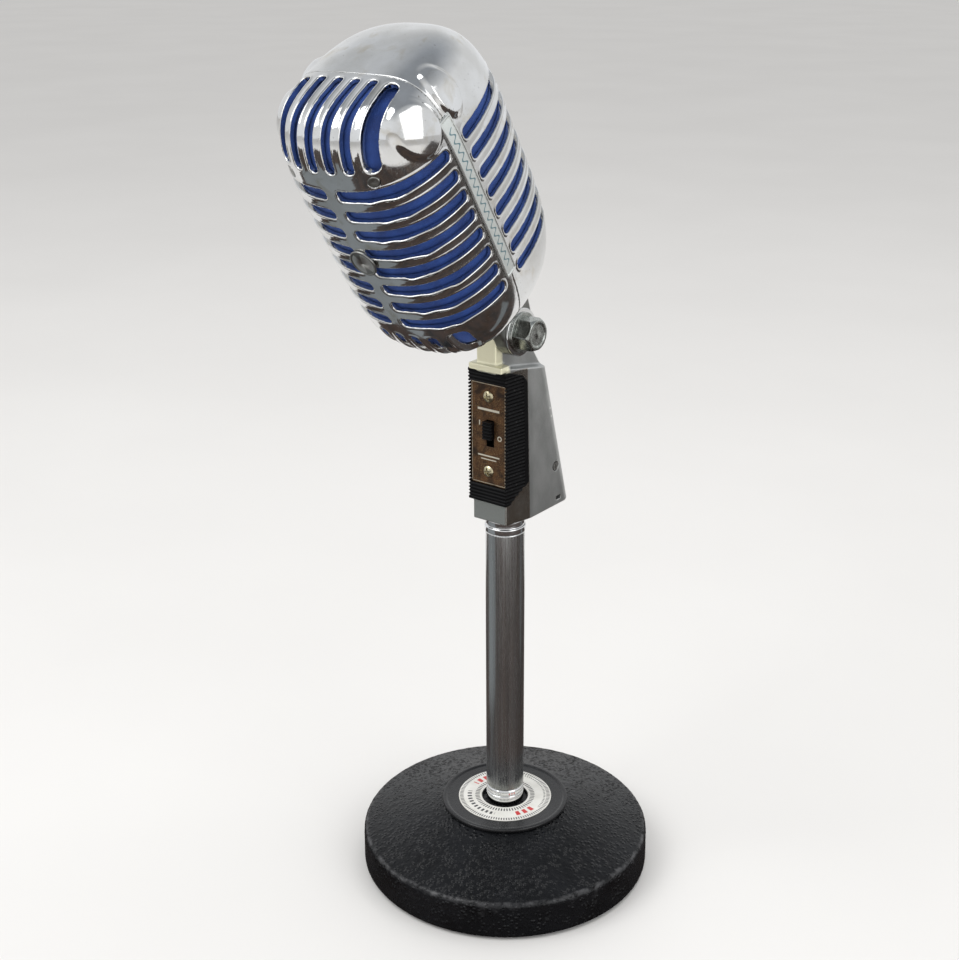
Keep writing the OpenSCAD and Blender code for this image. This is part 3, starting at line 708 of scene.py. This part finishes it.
def bore(x, y, z, r, foot, top):
    """Connector bore, which leans with the housing's rear face."""
    c, s = math.cos(XLR_TILT), math.sin(XLR_TILT)
    dy, dz = y - XLR_Y, z - HOUSING_Z
    across = hypot(x, dy * c + dz * s) - r
    up = dz * c - dy * s
    return meet(0.3, across, foot - up, up - top)


def housing(x, y, z):
    faces = housing_faces(x, y, z)
    slant = convex(y, z, [(FRONT_Y - 3, HOUSING_Z), (FRONT_Y - 3, LEDGE_Z - 0.6),
                          (REAR_Y_TOP + 1.5, TOP_REAR_Z), (REAR_Y + 1, TOP_REAR_Z - 4),
                          (REAR_Y + 1, HOUSING_Z)], 0.6)
    body = meet(0.6, *faces, slant)
    ledge = box_field(x, y, z, (-LEDGE_HALF, LEDGE_Y[0], LEDGE_BASE),
                      (LEDGE_HALF, LEDGE_Y[1], LEDGE_Z), 0.55)
    eye = hypot(y - PIVOT[1], z - PIVOT[2]) - LUG_R
    foot = np.array([REAR_Y_TOP + 1, TOP_REAR_Z])
    reach = foot - PIVOT[1:]
    lean = math.atan2(reach[1], reach[0]) + math.acos(LUG_R / np.linalg.norm(reach))
    touch = PIVOT[1:] + LUG_R * np.array([math.cos(lean), math.sin(lean)])
    web = convex(y, z, [(PIVOT[1] - LUG_R, LEDGE_Z - 4), (PIVOT[1] - LUG_R, PIVOT[2]),
                        tuple(touch), tuple(foot), (foot[0] - 2, foot[1] - 4)], 0.3)
    lug = meet(0.5, join(0.5, eye, web), abs(x) - LUG_HALF)
    body = join(1.2, join(0.5, body, ledge), lug)
    pocket = box_field(x, y, z, (-6.5, -20, KNOB_Z - 16), (6.5, -2, KNOB_Z + 12), 0.3)
    screw = maximum(hypot(y - XLR_Y + 3, z - HOUSING_Z - 20) - 2.3, 8 - x)
    window = box_field(x, y, z, (8, XLR_Y - 2.7, HOUSING_Z + 2.6),
                       (SIDE_HALF + 3, XLR_Y + 0.9, HOUSING_Z + 4.4), 0.3)
    stem = hypot(x, y) - THREAD_R + maximum(z - HOUSING_Z - 11, 0)
    hinge = hypot(y - PIVOT[1], z - PIVOT[2]) - BOLT_R - BOLT_PLAY
    for hole in (pocket, screw, window, bore(x, y, z, XLR_R, -6, 26), stem, hinge):
        body = meet(0.25, body, -hole)
    return body


def ribs(along, pitch):
    """Rounded ribs: 0 on their crests, 1 in the grooves between them."""
    return 1 - (0.5 - 0.5 * np.cos(2 * math.pi * along / pitch)) ** 0.8


def cover(x, y, z):
    front, cheek, _ = housing_faces(x, y, z, 1.2, 2.1)
    ribbed = 1.0
    for room in (z - COVER_Z0 - 1.2, LEDGE_BASE - 1.4 - z, BEND_Y - 4.2 - y):
        ribbed = ribbed * clip(room / 0.5, 0, 1)
    sunk = RIB_DEPTH * ribs(z - COVER_Z0 - 1.6, RIB_PITCH) * ribbed
    front_in, cheek_in, _ = housing_faces(x, y, z, 0.05, 0.05)
    outline = convex(y, z, [
        (-22, COVER_Z0), (FRONT_Y + 0.5, COVER_Z0), (BEND_Y - 1.6, COVER_Z0 + 9),
        (BEND_Y - 1.6, LEDGE_BASE - 6.5), (BEND_Y - 4.5, LEDGE_BASE - 3),
        (FRONT_Y + 1.5, LEDGE_BASE), (-22, LEDGE_BASE)], 0.3)
    window = box_field(x, y, z, (-PLATE_HALF, -24, PLATE_Z0), (PLATE_HALF, -8.5, PLATE_Z1), 0.3)
    return meet(0.3, front + 0.55 * sunk, cheek + sunk, -maximum(front_in, cheek_in),
                outline, -window)


def plate(x, y, z):
    sheet = box_field(x, y, z, (-PLATE_HALF + 0.05, PLATE_Y, PLATE_Z0 + 0.05),
                      (PLATE_HALF - 0.05, PLATE_Y + 0.6, PLATE_Z1 - 0.05), 0.18)
    slot = box_field(x, y, z, (KNOB_X - 2.25, -20, KNOB_Z - 8.5),
                     (KNOB_X + 2.25, -8.5, KNOB_Z + 4.5), 0.4)
    body = meet(0.15, sheet, -slot)
    for centre in SCREW_Z:
        body = meet(0.1, body, 1.25 - hypot(x, z - centre))
    return body


def plate_screws(x, y, z):
    all_screws = 9.0
    for centre in SCREW_Z:
        dz = z - centre
        r = hypot(x, dz)
        dome = np.sqrt(r ** 2 + (y - PLATE_Y - 3.0) ** 2) - 4.4
        head = meet(0.15, dome, r - 2.9, y - PLATE_Y)
        shank = maximum(r - 1.2, maximum(y + 4.0, PLATE_Y - 0.2 - y))
        turned = math.radians(20)
        p = abs(x * math.cos(turned) + dz * math.sin(turned))
        q = abs(dz * math.cos(turned) - x * math.sin(turned))
        cross = minimum(maximum(p - 1.9, q - 0.42), maximum(q - 1.9, p - 0.42))
        recess = maximum(cross, y - PLATE_Y + 0.2)
        all_screws = minimum(all_screws, minimum(meet(0.1, head, -recess), shank))
    return all_screws


def knob(x, y, z):
    face = PLATE_Y - 3.0
    sunk = 0.75 * ribs(z - KNOB_Z, 1.6) * clip((4.2 - abs(z - KNOB_Z)) / 0.3, 0, 1)
    cap = meet(0.35, abs(x - KNOB_X) - 2.7, abs(z - KNOB_Z) - 4.25,
               face + sunk - y, y - PLATE_Y + 0.05)
    shank = box_field(x, y, z, (KNOB_X - 2, PLATE_Y - 1, KNOB_Z - 3.9),
                      (KNOB_X + 2, -8.7, KNOB_Z + 3.9), 0.2)
    return minimum(cap, shank)


def build_swivel():
    sculpt_all((
        ("swivel_housing", housing, (-15, -18, HOUSING_Z - 2), (15, 40.5, 294), 0.5,
         "satin_die_cast"),
        ("switch_cover", cover, (-14, -17, COVER_Z0 - 1), (14, 4, LEDGE_BASE + 1), 0.3,
         "black_plastic"),
        ("switch_plate", plate, (-11, -15, PLATE_Z0 - 1), (11, -11, PLATE_Z1 + 1), 0.22,
         "copper_plate"),
        ("switch_plate_screws", plate_screws, (-3.5, -15.5, PLATE_Z0 + 3),
         (3.5, -3, PLATE_Z1 - 3), 0.16, "plated_screw"),
        ("switch_knob", knob, (KNOB_X - 4, PLATE_Y - 4, KNOB_Z - 6),
         (KNOB_X + 4, -7.5, KNOB_Z + 6), 0.16, "black_plastic")))


# ---- pivot
def ears(x, v, w):
    side = abs(x)
    disc = hypot(v, w) - EAR_R
    web = convex(v, w, [(-EAR_R, 0), (EAR_R, 0), (WEB_V, 23.8), (WEB_V, 27.8),
                        (SEAM + 1.5, 27.8)], 0.5)
    plates = meet(0.55, abs(side - (EAR_IN + EAR_OUT) / 2) - (EAR_OUT - EAR_IN) / 2,
                  join(0.5, disc, web))
    bridge = box_field(x, v, w, (-BRIDGE_HALF, BRIDGE_V[0], BRIDGE_W[0]),
                       (BRIDGE_HALF, BRIDGE_V[1], BRIDGE_W[1]), 0.5)
    body = join(0.8, plates, bridge)
    body = meet(0.3, body, BOLT_R + BOLT_PLAY - hypot(v, w))
    for at in SHELL_SCREW_V:
        body = meet(0.1, body, SHELL_SCREW_R - hypot(side - SHELL_SCREW_X, v - at))
    return body


def hexagon(v, w, flats, turned=0.0):
    """Distance from a hexagon whose flats are this far from its centre."""
    around = [math.radians(60 * k + turned) for k in range(3)]
    return meet(0.35, *[abs(v * math.cos(a) + w * math.sin(a)) - flats for a in around])


def bolt(x, v, w):
    r = hypot(v, w)
    chamfer = (r - BOLT_CHAMFER_R + (x - HEX_END + 0.35) * 0.75) / math.hypot(1, 0.75)
    dish = 0.35 * clip((5.6 - r) / 0.7, 0, 1) - 0.2 * exp(-(r / 1.3) ** 2)
    head = meet(0.2, hexagon(v, w, BOLT_FLATS), HEX_SEAT - x, x - HEX_END + dish, chamfer)
    shaft = meet(0.4, r - BOLT_R, -HEX_SEAT - 10 - x, x - HEX_SEAT - 1)
    return minimum(head, shaft)


def nut(x, v, w):
    r = hypot(v, w)
    chamfer = (r - NUT_CHAMFER_R - (x + HEX_SEAT + 7.3)) / math.hypot(1, 1)
    body = meet(0.3, hexagon(v, w, NUT_FLATS), x + HEX_SEAT, -HEX_SEAT - 8 - x, chamfer)
    return meet(0.25, body, BOLT_R + BOLT_PLAY - r)


def washers(node, r_out, x0, x1, look):
    """The same washer on both sides of the pivot."""
    r_in = BOLT_R + BOLT_PLAY
    fillet = (x1 - x0) * 0.4
    turn, shift = IN_HEAD
    for sign, side in ((1, ""), (-1, "_left")):
        to_x = np.array([[0, 0, sign], [0, 1, 0], [-sign, 0, 0]], float)
        put(lathe(node, [(r_in, x0, fillet / 2), (r_out, x0, fillet), (r_out, x1, fillet),
                         (r_in, x1, fillet / 2)], 96, place=(turn @ to_x, shift), side=side),
            look)


def build_pivot():
    sculpt_all((
        ("head_bracket", ears, (-20, -26, -13), (20, 18, 32), 0.5, "cast_bracket"),
        ("pivot_bolt", bolt, (-HEX_SEAT - 11, -10, -10), (HEX_END + 1, 10, 10), 0.3,
         "bolt_steel"),
        ("pivot_nut", nut, (-HEX_SEAT - 9, -11, -11), (-HEX_SEAT + 1, 11, 11), 0.3,
         "bolt_steel")), IN_HEAD)
    washers("friction_washers", 8.2, LUG_HALF + 0.05, EAR_IN, "fibre")
    washers("pivot_washers", 11, EAR_OUT, EAR_OUT + WASHER, "bright_chrome")
    washers("lock_washers", 9.3, EAR_OUT + WASHER, HEX_SEAT, "bolt_steel")


# ---- head
def pill_gauge(x, v, w, inset):
    """1 on the head's rounded skin moved in by inset, less inside, more outside."""
    ahead = v < SEAM
    depth = where(ahead, FRONT_DEPTH - inset, REAR_DEPTH - inset)
    across = abs(x / (HALF_WIDTH - inset)) ** ROUND
    deep = abs((v - SEAM) / depth) ** ROUND
    total = across + deep + 1e-9
    power = TALL + (where(ahead, TALL_FRONT, TALL_REAR) - TALL) * deep / total
    tall = abs((w - MID) / (HALF_LENGTH - inset)) + 1e-9
    return ((total ** (1 / ROUND)) ** power + tall ** power) ** (1 / power)


def pill(x, v, w, inset=0.0):
    """Distance outside the head's skin, in mm, close to it."""
    h = 0.05
    g = pill_gauge(x, v, w, inset)
    rise = np.sqrt((pill_gauge(x + h, v, w, inset) - g) ** 2
                   + (pill_gauge(x, v + h, w, inset) - g) ** 2
                   + (pill_gauge(x, v, w + h, inset) - g) ** 2) / h
    return (g - 1) / maximum(rise, 0.01)


def row_of(w):
    """Height of the nearest row of slots."""
    k = clip(np.round((ROW_TOP - w) / ROW_PITCH), 0, ROWS - 1)
    return ROW_TOP - k * ROW_PITCH


def front_slots(x, v, w):
    """Negative inside the front shell's slots."""
    side = abs(x)
    slots = meet(2.2, abs(w - row_of(w)) - SLOT_H / 2, SPINE_HALF - side, v - SEAM + 5.5)
    for centre in (4.3, 13):
        off = abs(side - centre) - 2.2
        slots = minimum(slots, meet(1.9, off, BROW_W - w, v - BROW_V))
        slots = minimum(slots, meet(1.9, off, w - 43.5, v + 38))
    slots = minimum(slots, meet(
        2.7, abs(side - WIDE_SLOT) - WIDE_HALF, BROW_W - 0.5 - w, v - BROW_V))
    return minimum(slots, meet(2.6, abs(side - 24) - 3.5, w - 44.5, v + 34))


def rear_slots(x, v, w):
    """Negative inside the rear shell's slots."""
    return meet(2.2, abs(w - row_of(w)) - SLOT_H / 2, 5 - abs(x), SEAM + 5 - v)


def lump(x, v, w, at, reach):
    """Smooth hump of height 1 at a place on both sides of the head."""
    return exp(-((abs(x) - at[0]) / reach[0]) ** 2 - ((v - at[1]) / reach[1]) ** 2
                  - ((w - at[2]) / reach[2]) ** 2)


def pad(x, v, w, at, reach, soft=0.16):
    """Flat-topped swelling of height 1 at a place on both sides of the head."""
    far = np.sqrt(((v - at[0]) / reach[0]) ** 2 + ((w - at[1]) / reach[1]) ** 2)
    share = clip((1 + soft - far) / (2 * soft), 0, 1)
    side = clip((abs(x) - 24) / 5, 0, 1)
    return share * share * (3 - 2 * share) * side * side * (3 - 2 * side)


def solder_lumps(x, v, w):
    """Uneven blobs of casting flash along the lower lips, on one side of the front."""
    total = 0.0
    for k in range(ROWS):
        edge = ROW_TOP - k * ROW_PITCH - SLOT_H / 2 - 0.5
        for i, (at, size) in enumerate(((17.5, 2.6), (24.5, 3.6), (30.0, 2.2))):
            shift = 2.6 * math.sin(2.1 * k + 1.7 * i)
            total = total + (0.75 + 0.3 * math.sin(3.3 * k + 2 * i)) * exp(
                -((x - at - shift) / size) ** 2 - ((w - edge) / 0.8) ** 2)
    return where(v < SEAM - 6, total, 0)


def grille(front):
    """Field of the front or the rear shell."""
    slots_of = front_slots if front else rear_slots

    def field(x, v, w):
        slots = slots_of(x, v, w)
        lip = 0.16 * exp(-((slots - 0.55) / 0.5) ** 2)
        if front:
            cheek = 1.3 * pad(x, v, w, (SEAM - 12, 135.5), (9.5, 11)) \
                + 0.7 * lump(x, v, w, (33, SEAM - 12, 133), (9, 8, 8))
            lip = lip + solder_lumps(x, v, w)
            seam = v - SEAM + 0.05
        else:
            cheek = 1.3 * pad(x, v, w, (SEAM + 8, 138), (6.2, 10)) \
                + 0.6 * lump(x, v, w, (32, SEAM + 8, 137), (9, 6, 8))
            seam = SEAM + 0.05 - v
        outer = pill(x, v, w) - lip - cheek
        inner = pill(x, v, w, SHELL)
        shell = meet(0.35, outer, -inner, -slots, seam)
        if not front:
            mouth = box_field(x, v, w, (-MOUTH_HALF, SEAM - 1, 10),
                              (MOUTH_HALF, WEB_V + 1.5, 40), 1.0)
            shell = meet(0.4, shell, -mouth)
        else:
            shell = maximum(shell, 1.25 - hypot(x, w - MID))
            shell = meet(0.15, shell, minimum(
                RIVET_R + 0.12 - hypot(abs(x) - RIVET_X, w - RIVET_W), SEAM - 12 - v))
        for at in SHELL_SCREW_V:
            hole = hypot(abs(x) - SHELL_SCREW_X, v - at) - SHELL_SCREW_R
            shell = maximum(shell, -maximum(hole, w - 45))
        return shell
    return field


def skin_point(lat, lon, inset):
    """Point of the head's skin at a latitude and a longitude, moved in by inset."""
    power = lambda t, e: math.copysign(abs(t) ** e, t)
    e = math.sin(lat) / (abs(math.cos(lat)) ** TALL + abs(math.sin(lat)) ** TALL) ** (1 / TALL)
    s = power(math.sin(lon), 2 / ROUND)
    depth, m = (FRONT_DEPTH, TALL_FRONT) if s < 0 else (REAR_DEPTH, TALL_REAR)
    taper = lambda k: max(0.0, 1 - abs(e) ** k) ** (1 / k)
    return np.array([(HALF_WIDTH - inset) * taper(TALL) * power(math.cos(lon), 2 / ROUND),
                     SEAM + s * (depth - inset) * taper(m), MID + (HALF_LENGTH - inset) * e])


def cloth(name, node, first_lon, slots_of):
    """Stretched cloth behind one shell, which swells a little into the slots."""
    rings, spokes = ((110, 150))
    inset = SHELL + CLOTH_GAP
    lats = np.radians(np.linspace(-89.9, 89.9, rings))
    lons = np.radians(first_lon + np.linspace(0.4, 179.6, spokes))
    points = np.array([[skin_point(a, b, inset) for b in lons] for a in lats])
    along, around = (np.concatenate([[0], np.cumsum(np.linalg.norm(
        np.diff(line, axis=0), axis=1))]) for line in (points[:, spokes // 2], points[rings // 2]))
    flat = points.reshape(-1, 3)
    g = slope(lambda x, v, w: pill(x, v, w, inset), flat, 0.1)
    out = g / np.linalg.norm(g, axis=1)[:, None]
    open_share = clip(0.5 - slots_of(*flat.T) / 2.5, 0, 1)
    crease = np.array([noise.noise(Vector(p) / 9) + 0.5 * noise.noise(Vector(p) / 3.5)
                       for p in flat])
    swell = 0.45 * open_share * (1 + 0.8 * crease) \
        - (1.8 + 1.2 * crease) * lump(*flat.T, (22, -27, 143), (6, 12, 9))
    outer = flat + out * swell[:, None]
    inner = np.array([[skin_point(a, b, inset + CLOTH_THICK) for b in lons] for a in lats])
    both = np.concatenate([outer, inner.reshape(-1, 3)])
    count = rings * spokes
    at = lambda i, j: i * spokes + j
    keep = lambda p: not (p[2] < 32 and (abs(p[0]) < 19 and -25.5 < p[1] < 12
                                         or abs(p[0]) < MOUTH_HALF and 0 < p[1] < WEB_V + 2))
    cells = [(i, j) for i in range(rings - 1) for j in range(spokes - 1)
             if keep(flat[at(i, j)]) and keep(flat[at(i + 1, j + 1)])]
    kept = set(cells)
    faces = []
    for i, j in cells:
        a, b, c, d = at(i, j), at(i, j + 1), at(i + 1, j + 1), at(i + 1, j)
        faces.append((a, b, c, d))
        faces.append((d + count, c + count, b + count, a + count))
        for there, p, q in (((i - 1, j), a, b), ((i, j + 1), b, c),
                            ((i + 1, j), c, d), ((i, j - 1), d, a)):
            if there not in kept:
                faces.append((q, p, p + count, q + count))
    used = sorted({k for f in faces for k in f})
    new = {k: n for n, k in enumerate(used)}
    faces = [tuple(new[k] for k in f) for f in faces]
    sheet = piece(name, both[used], faces, node, place=IN_HEAD)
    uv = sheet.data.uv_layers.new(name="UVMap")
    places = {}
    for n, k in enumerate(used):
        i, j = divmod(k % count, spokes)
        places[n] = (around[j] * MM, along[i] * MM)
    for loop in sheet.data.loops:
        uv.data[loop.index].uv = places[loop.vertex_index]
    return put(sheet, "blue_cloth")


def strip(x, v, w):
    """Raised name strip over the seam, left blank, with a proud border."""
    edge = meet(0.6, *[abs(t - (a + b) / 2) - (b - a) / 2
                       for t, a, b in zip((v, w), STRIP_LOW, STRIP_HIGH)])
    sunk = 0.28 * clip((-edge - 0.75) / 0.3, 0, 1)
    return meet(0.3, pill(x, v, w, -1.05) + sunk, -pill(x, v, w, -0.05), edge)


def rivets(x, v, w):
    """Blank round buttons over the top row of slots, flush with the skin."""
    across = hypot(abs(x) - RIVET_X, w - RIVET_W)
    dish = 0.12 * exp(-(across / 1.0) ** 2)
    return meet(0.2, across - RIVET_R, pill(x, v, w) - 0.12 + dish,
                -pill(x, v, w, 2.4), v - SEAM + 12)


def build_head():
    put(sculpt("shell_rivets", rivets, (18.4, -51.5, 122.6), (23.6, -38, 128.2), 0.16,
               IN_HEAD, mirrored=True), "cast_bracket")
    sculpt_all((
        ("front_grille", grille(True), (-40, -54, 20), (40, SEAM + 1, 152), 0.55,
         "grille_chrome"),
        ("rear_grille", grille(False), (-40, SEAM - 1, 20), (40, 43, 152), 0.6,
         "grille_chrome")), IN_HEAD)
    cloth("front_cloth", "front_liner", 180, front_slots)
    cloth("rear_cloth", "rear_liner", 0, rear_slots)
    put(sculpt("side_strips", strip, (30, SEAM - 5, 52), (40, SEAM + 4, 134), 0.3,
               IN_HEAD, mirrored=True), "strip_metal")
    turn, shift = IN_HEAD
    forward = np.array([[1, 0, 0], [0, 0, -1], [0, 1, 0]], float)
    centre = turn @ np.array([0, SEAM - FRONT_DEPTH, MID]) + shift
    r = BADGE_R
    put(lathe("front_badge", [
        (0.01, 0.1, 0), (r - 0.3, 0.1, 0.2), (r, 0.5, 0.2), (r, 1.1, 0.4), (r - 0.5, 1.4, 0.3),
        (r - 1.0, 1.05, 0.3), (0.01, 1.15, 0)], 96, place=(turn @ forward, centre)),
        "cast_bracket")


# CAD nodes that keep their own shape, by material
PLAIN = {
    "pad_rubber": ("foot_pad",),
    "zinc_steel": ("base_stud", "stud_washer", "stud_nut", "stem_top_thread",
                   "xlr_set_screw", "shell_screws", "capsule_frame", "capsule_screws"),
    "black_plastic": ("switch_body", "xlr_insert"),
    "wire_red": ("switch_wires",),
    "gold_contact": ("xlr_pins", "capsule_wires"),
    "capsule_can": ("capsule",),
    "rubber_ring": ("capsule_ring",),
}
build_stand()
build_swivel()
build_pivot()
build_head()
for look, nodes in PLAIN.items():
    for node in nodes:
        paint(frame["nodes"][node], look)


# ---- studio
AZIMUTH = math.radians(37.5)
RIGHT = Vector((math.cos(AZIMUTH), math.sin(AZIMUTH), 0))
AHEAD = Vector((-math.sin(AZIMUTH), math.cos(AZIMUTH), 0))
CARD_LIFT = 0.0006


def card(name, corners, look, reflected_only=False):
    """Flat sheet of the set, in metres, which isn't part of the object."""
    mesh = bpy.data.meshes.new(name)
    mesh.from_pydata(corners, [], [tuple(range(len(corners)))])
    thing = new_object(name, mesh)
    mesh.materials.append(LOOKS[look])
    if reflected_only:
        for ray in ("camera", "diffuse", "shadow", "transmission"):
            setattr(thing, "visible_" + ray, False)


def on_floor(outline, lift):
    """Corners given as (across, ahead) from the camera's side, in metres."""
    return [RIGHT * a + AHEAD * b + Vector((0, 0, lift)) for a, b in outline]


def glow(name, outline, strength):
    """Softly glowing card on the floor that only reflections see."""
    _, skin = new_material(name)
    for key, value in (("Base Color", (0, 0, 0, 1)), ("Specular IOR Level", 0),
                       ("Emission Color", (0.9, 0.97, 1, 1)), ("Emission Strength", strength)):
        skin.inputs[key].default_value = value
    card(name, on_floor(outline, 2 * CARD_LIFT), name, reflected_only=True)


def sky():
    """Pale room: one grey for the camera, a graded one for reflections, one for light."""
    world = bpy.data.worlds.new("studio")
    bpy.context.scene.world = world
    world.use_nodes = True
    s = Shader(world.node_tree)
    rays = s.add("LightPath").outputs
    up = s.split(s.add("TexCoord").outputs["Generated"])[2]
    graded = s.mix(s.between(up, 0.50, 0.93), (0.84, 0.85, 0.86), (0.30, 0.32, 0.345))
    lit = s.mix(rays["Is Glossy Ray"], (0.72, 0.72, 0.72), graded)
    seen = s.mix(rays["Is Camera Ray"], lit, (0.60, 0.595, 0.585))
    s.feed(s.tree.nodes["Background"], {"Color": seen})


def lamp(name, at, towards, size, power, shiny=True):
    data = bpy.data.lights.new(name, "AREA")
    data.shape, data.size, data.size_y = "RECTANGLE", *size
    data.energy = power
    thing = new_object(name, data)
    thing.location = at
    thing.visible_glossy = shiny
    towards = Vector(towards) - Vector(at)
    thing.rotation_euler = towards.to_track_quat("-Z", "Y").to_euler()


def studio():
    finish("studio_floor", (0.80, 0.79, 0.775), (0.78, 0.77, 0.755), 0.0, (0.6, 0.7),
           size=20, cloud=300, bump=0.0, shine=0.0)
    wide = 12.0
    card("floor", [(-wide, -wide, 0), (wide, -wide, 0), (wide, wide, 0), (-wide, wide, 0)],
         "studio_floor")
    finish("dark_card", (0.010, 0.007, 0.006), (0.050, 0.026, 0.016), 0.0, (0.6, 0.7),
           size=30, cloud=70, stretch=(1, 0.4, 1), bump=0.0)
    left, right, near, behind = -1.2, 3.0, -0.62, 0.32
    card("dark_flag", on_floor([(left, near), (right, near), (right, behind), (left, behind)],
                               CARD_LIFT), "dark_card", reflected_only=True)
    sky()
    glow("left_card", [(-0.16, -0.09), (-0.16, 0.06), (-0.60, 0.26), (-0.60, -0.34)], 0.26)
    glow("right_card", [(0.22, 0.03), (0.22, 0.07), (0.60, 0.20), (0.60, 0.08)], 0.20)
    lamp("key", (-0.5, -1.0, 1.5), (0, 0, 0.25), (1.1, 1.1), 12)
    lamp("fill", (1.5, -0.2, 0.9), (0, 0, 0.2), (1.0, 1.4), 6)
    lamp("top", (0.1, 0.3, 1.7), (0, 0, 0.2), (1.3, 1.0), 6, shiny=False)


def camera():
    """The photograph's viewpoint: from the front right, a little above the head."""
    pitch = math.radians(21.1)
    away, aside, height = 655.8, -12.2, 461.6
    data = bpy.data.cameras.new("camera")
    data.sensor_width, data.lens = 36, 55.52
    thing = new_object("camera", data)
    thing.location = (RIGHT * aside - AHEAD * away + Vector((0, 0, height))) * MM
    look = AHEAD * math.cos(pitch) - Vector((0, 0, math.sin(pitch)))
    roll = Quaternion((0, 0, 1), math.radians(-0.34))
    thing.rotation_euler = (look.to_track_quat("-Z", "Y") @ roll).to_euler()
    bpy.context.scene.camera = thing


studio()
camera()
bpy.context.scene.view_settings.view_transform = "Standard"
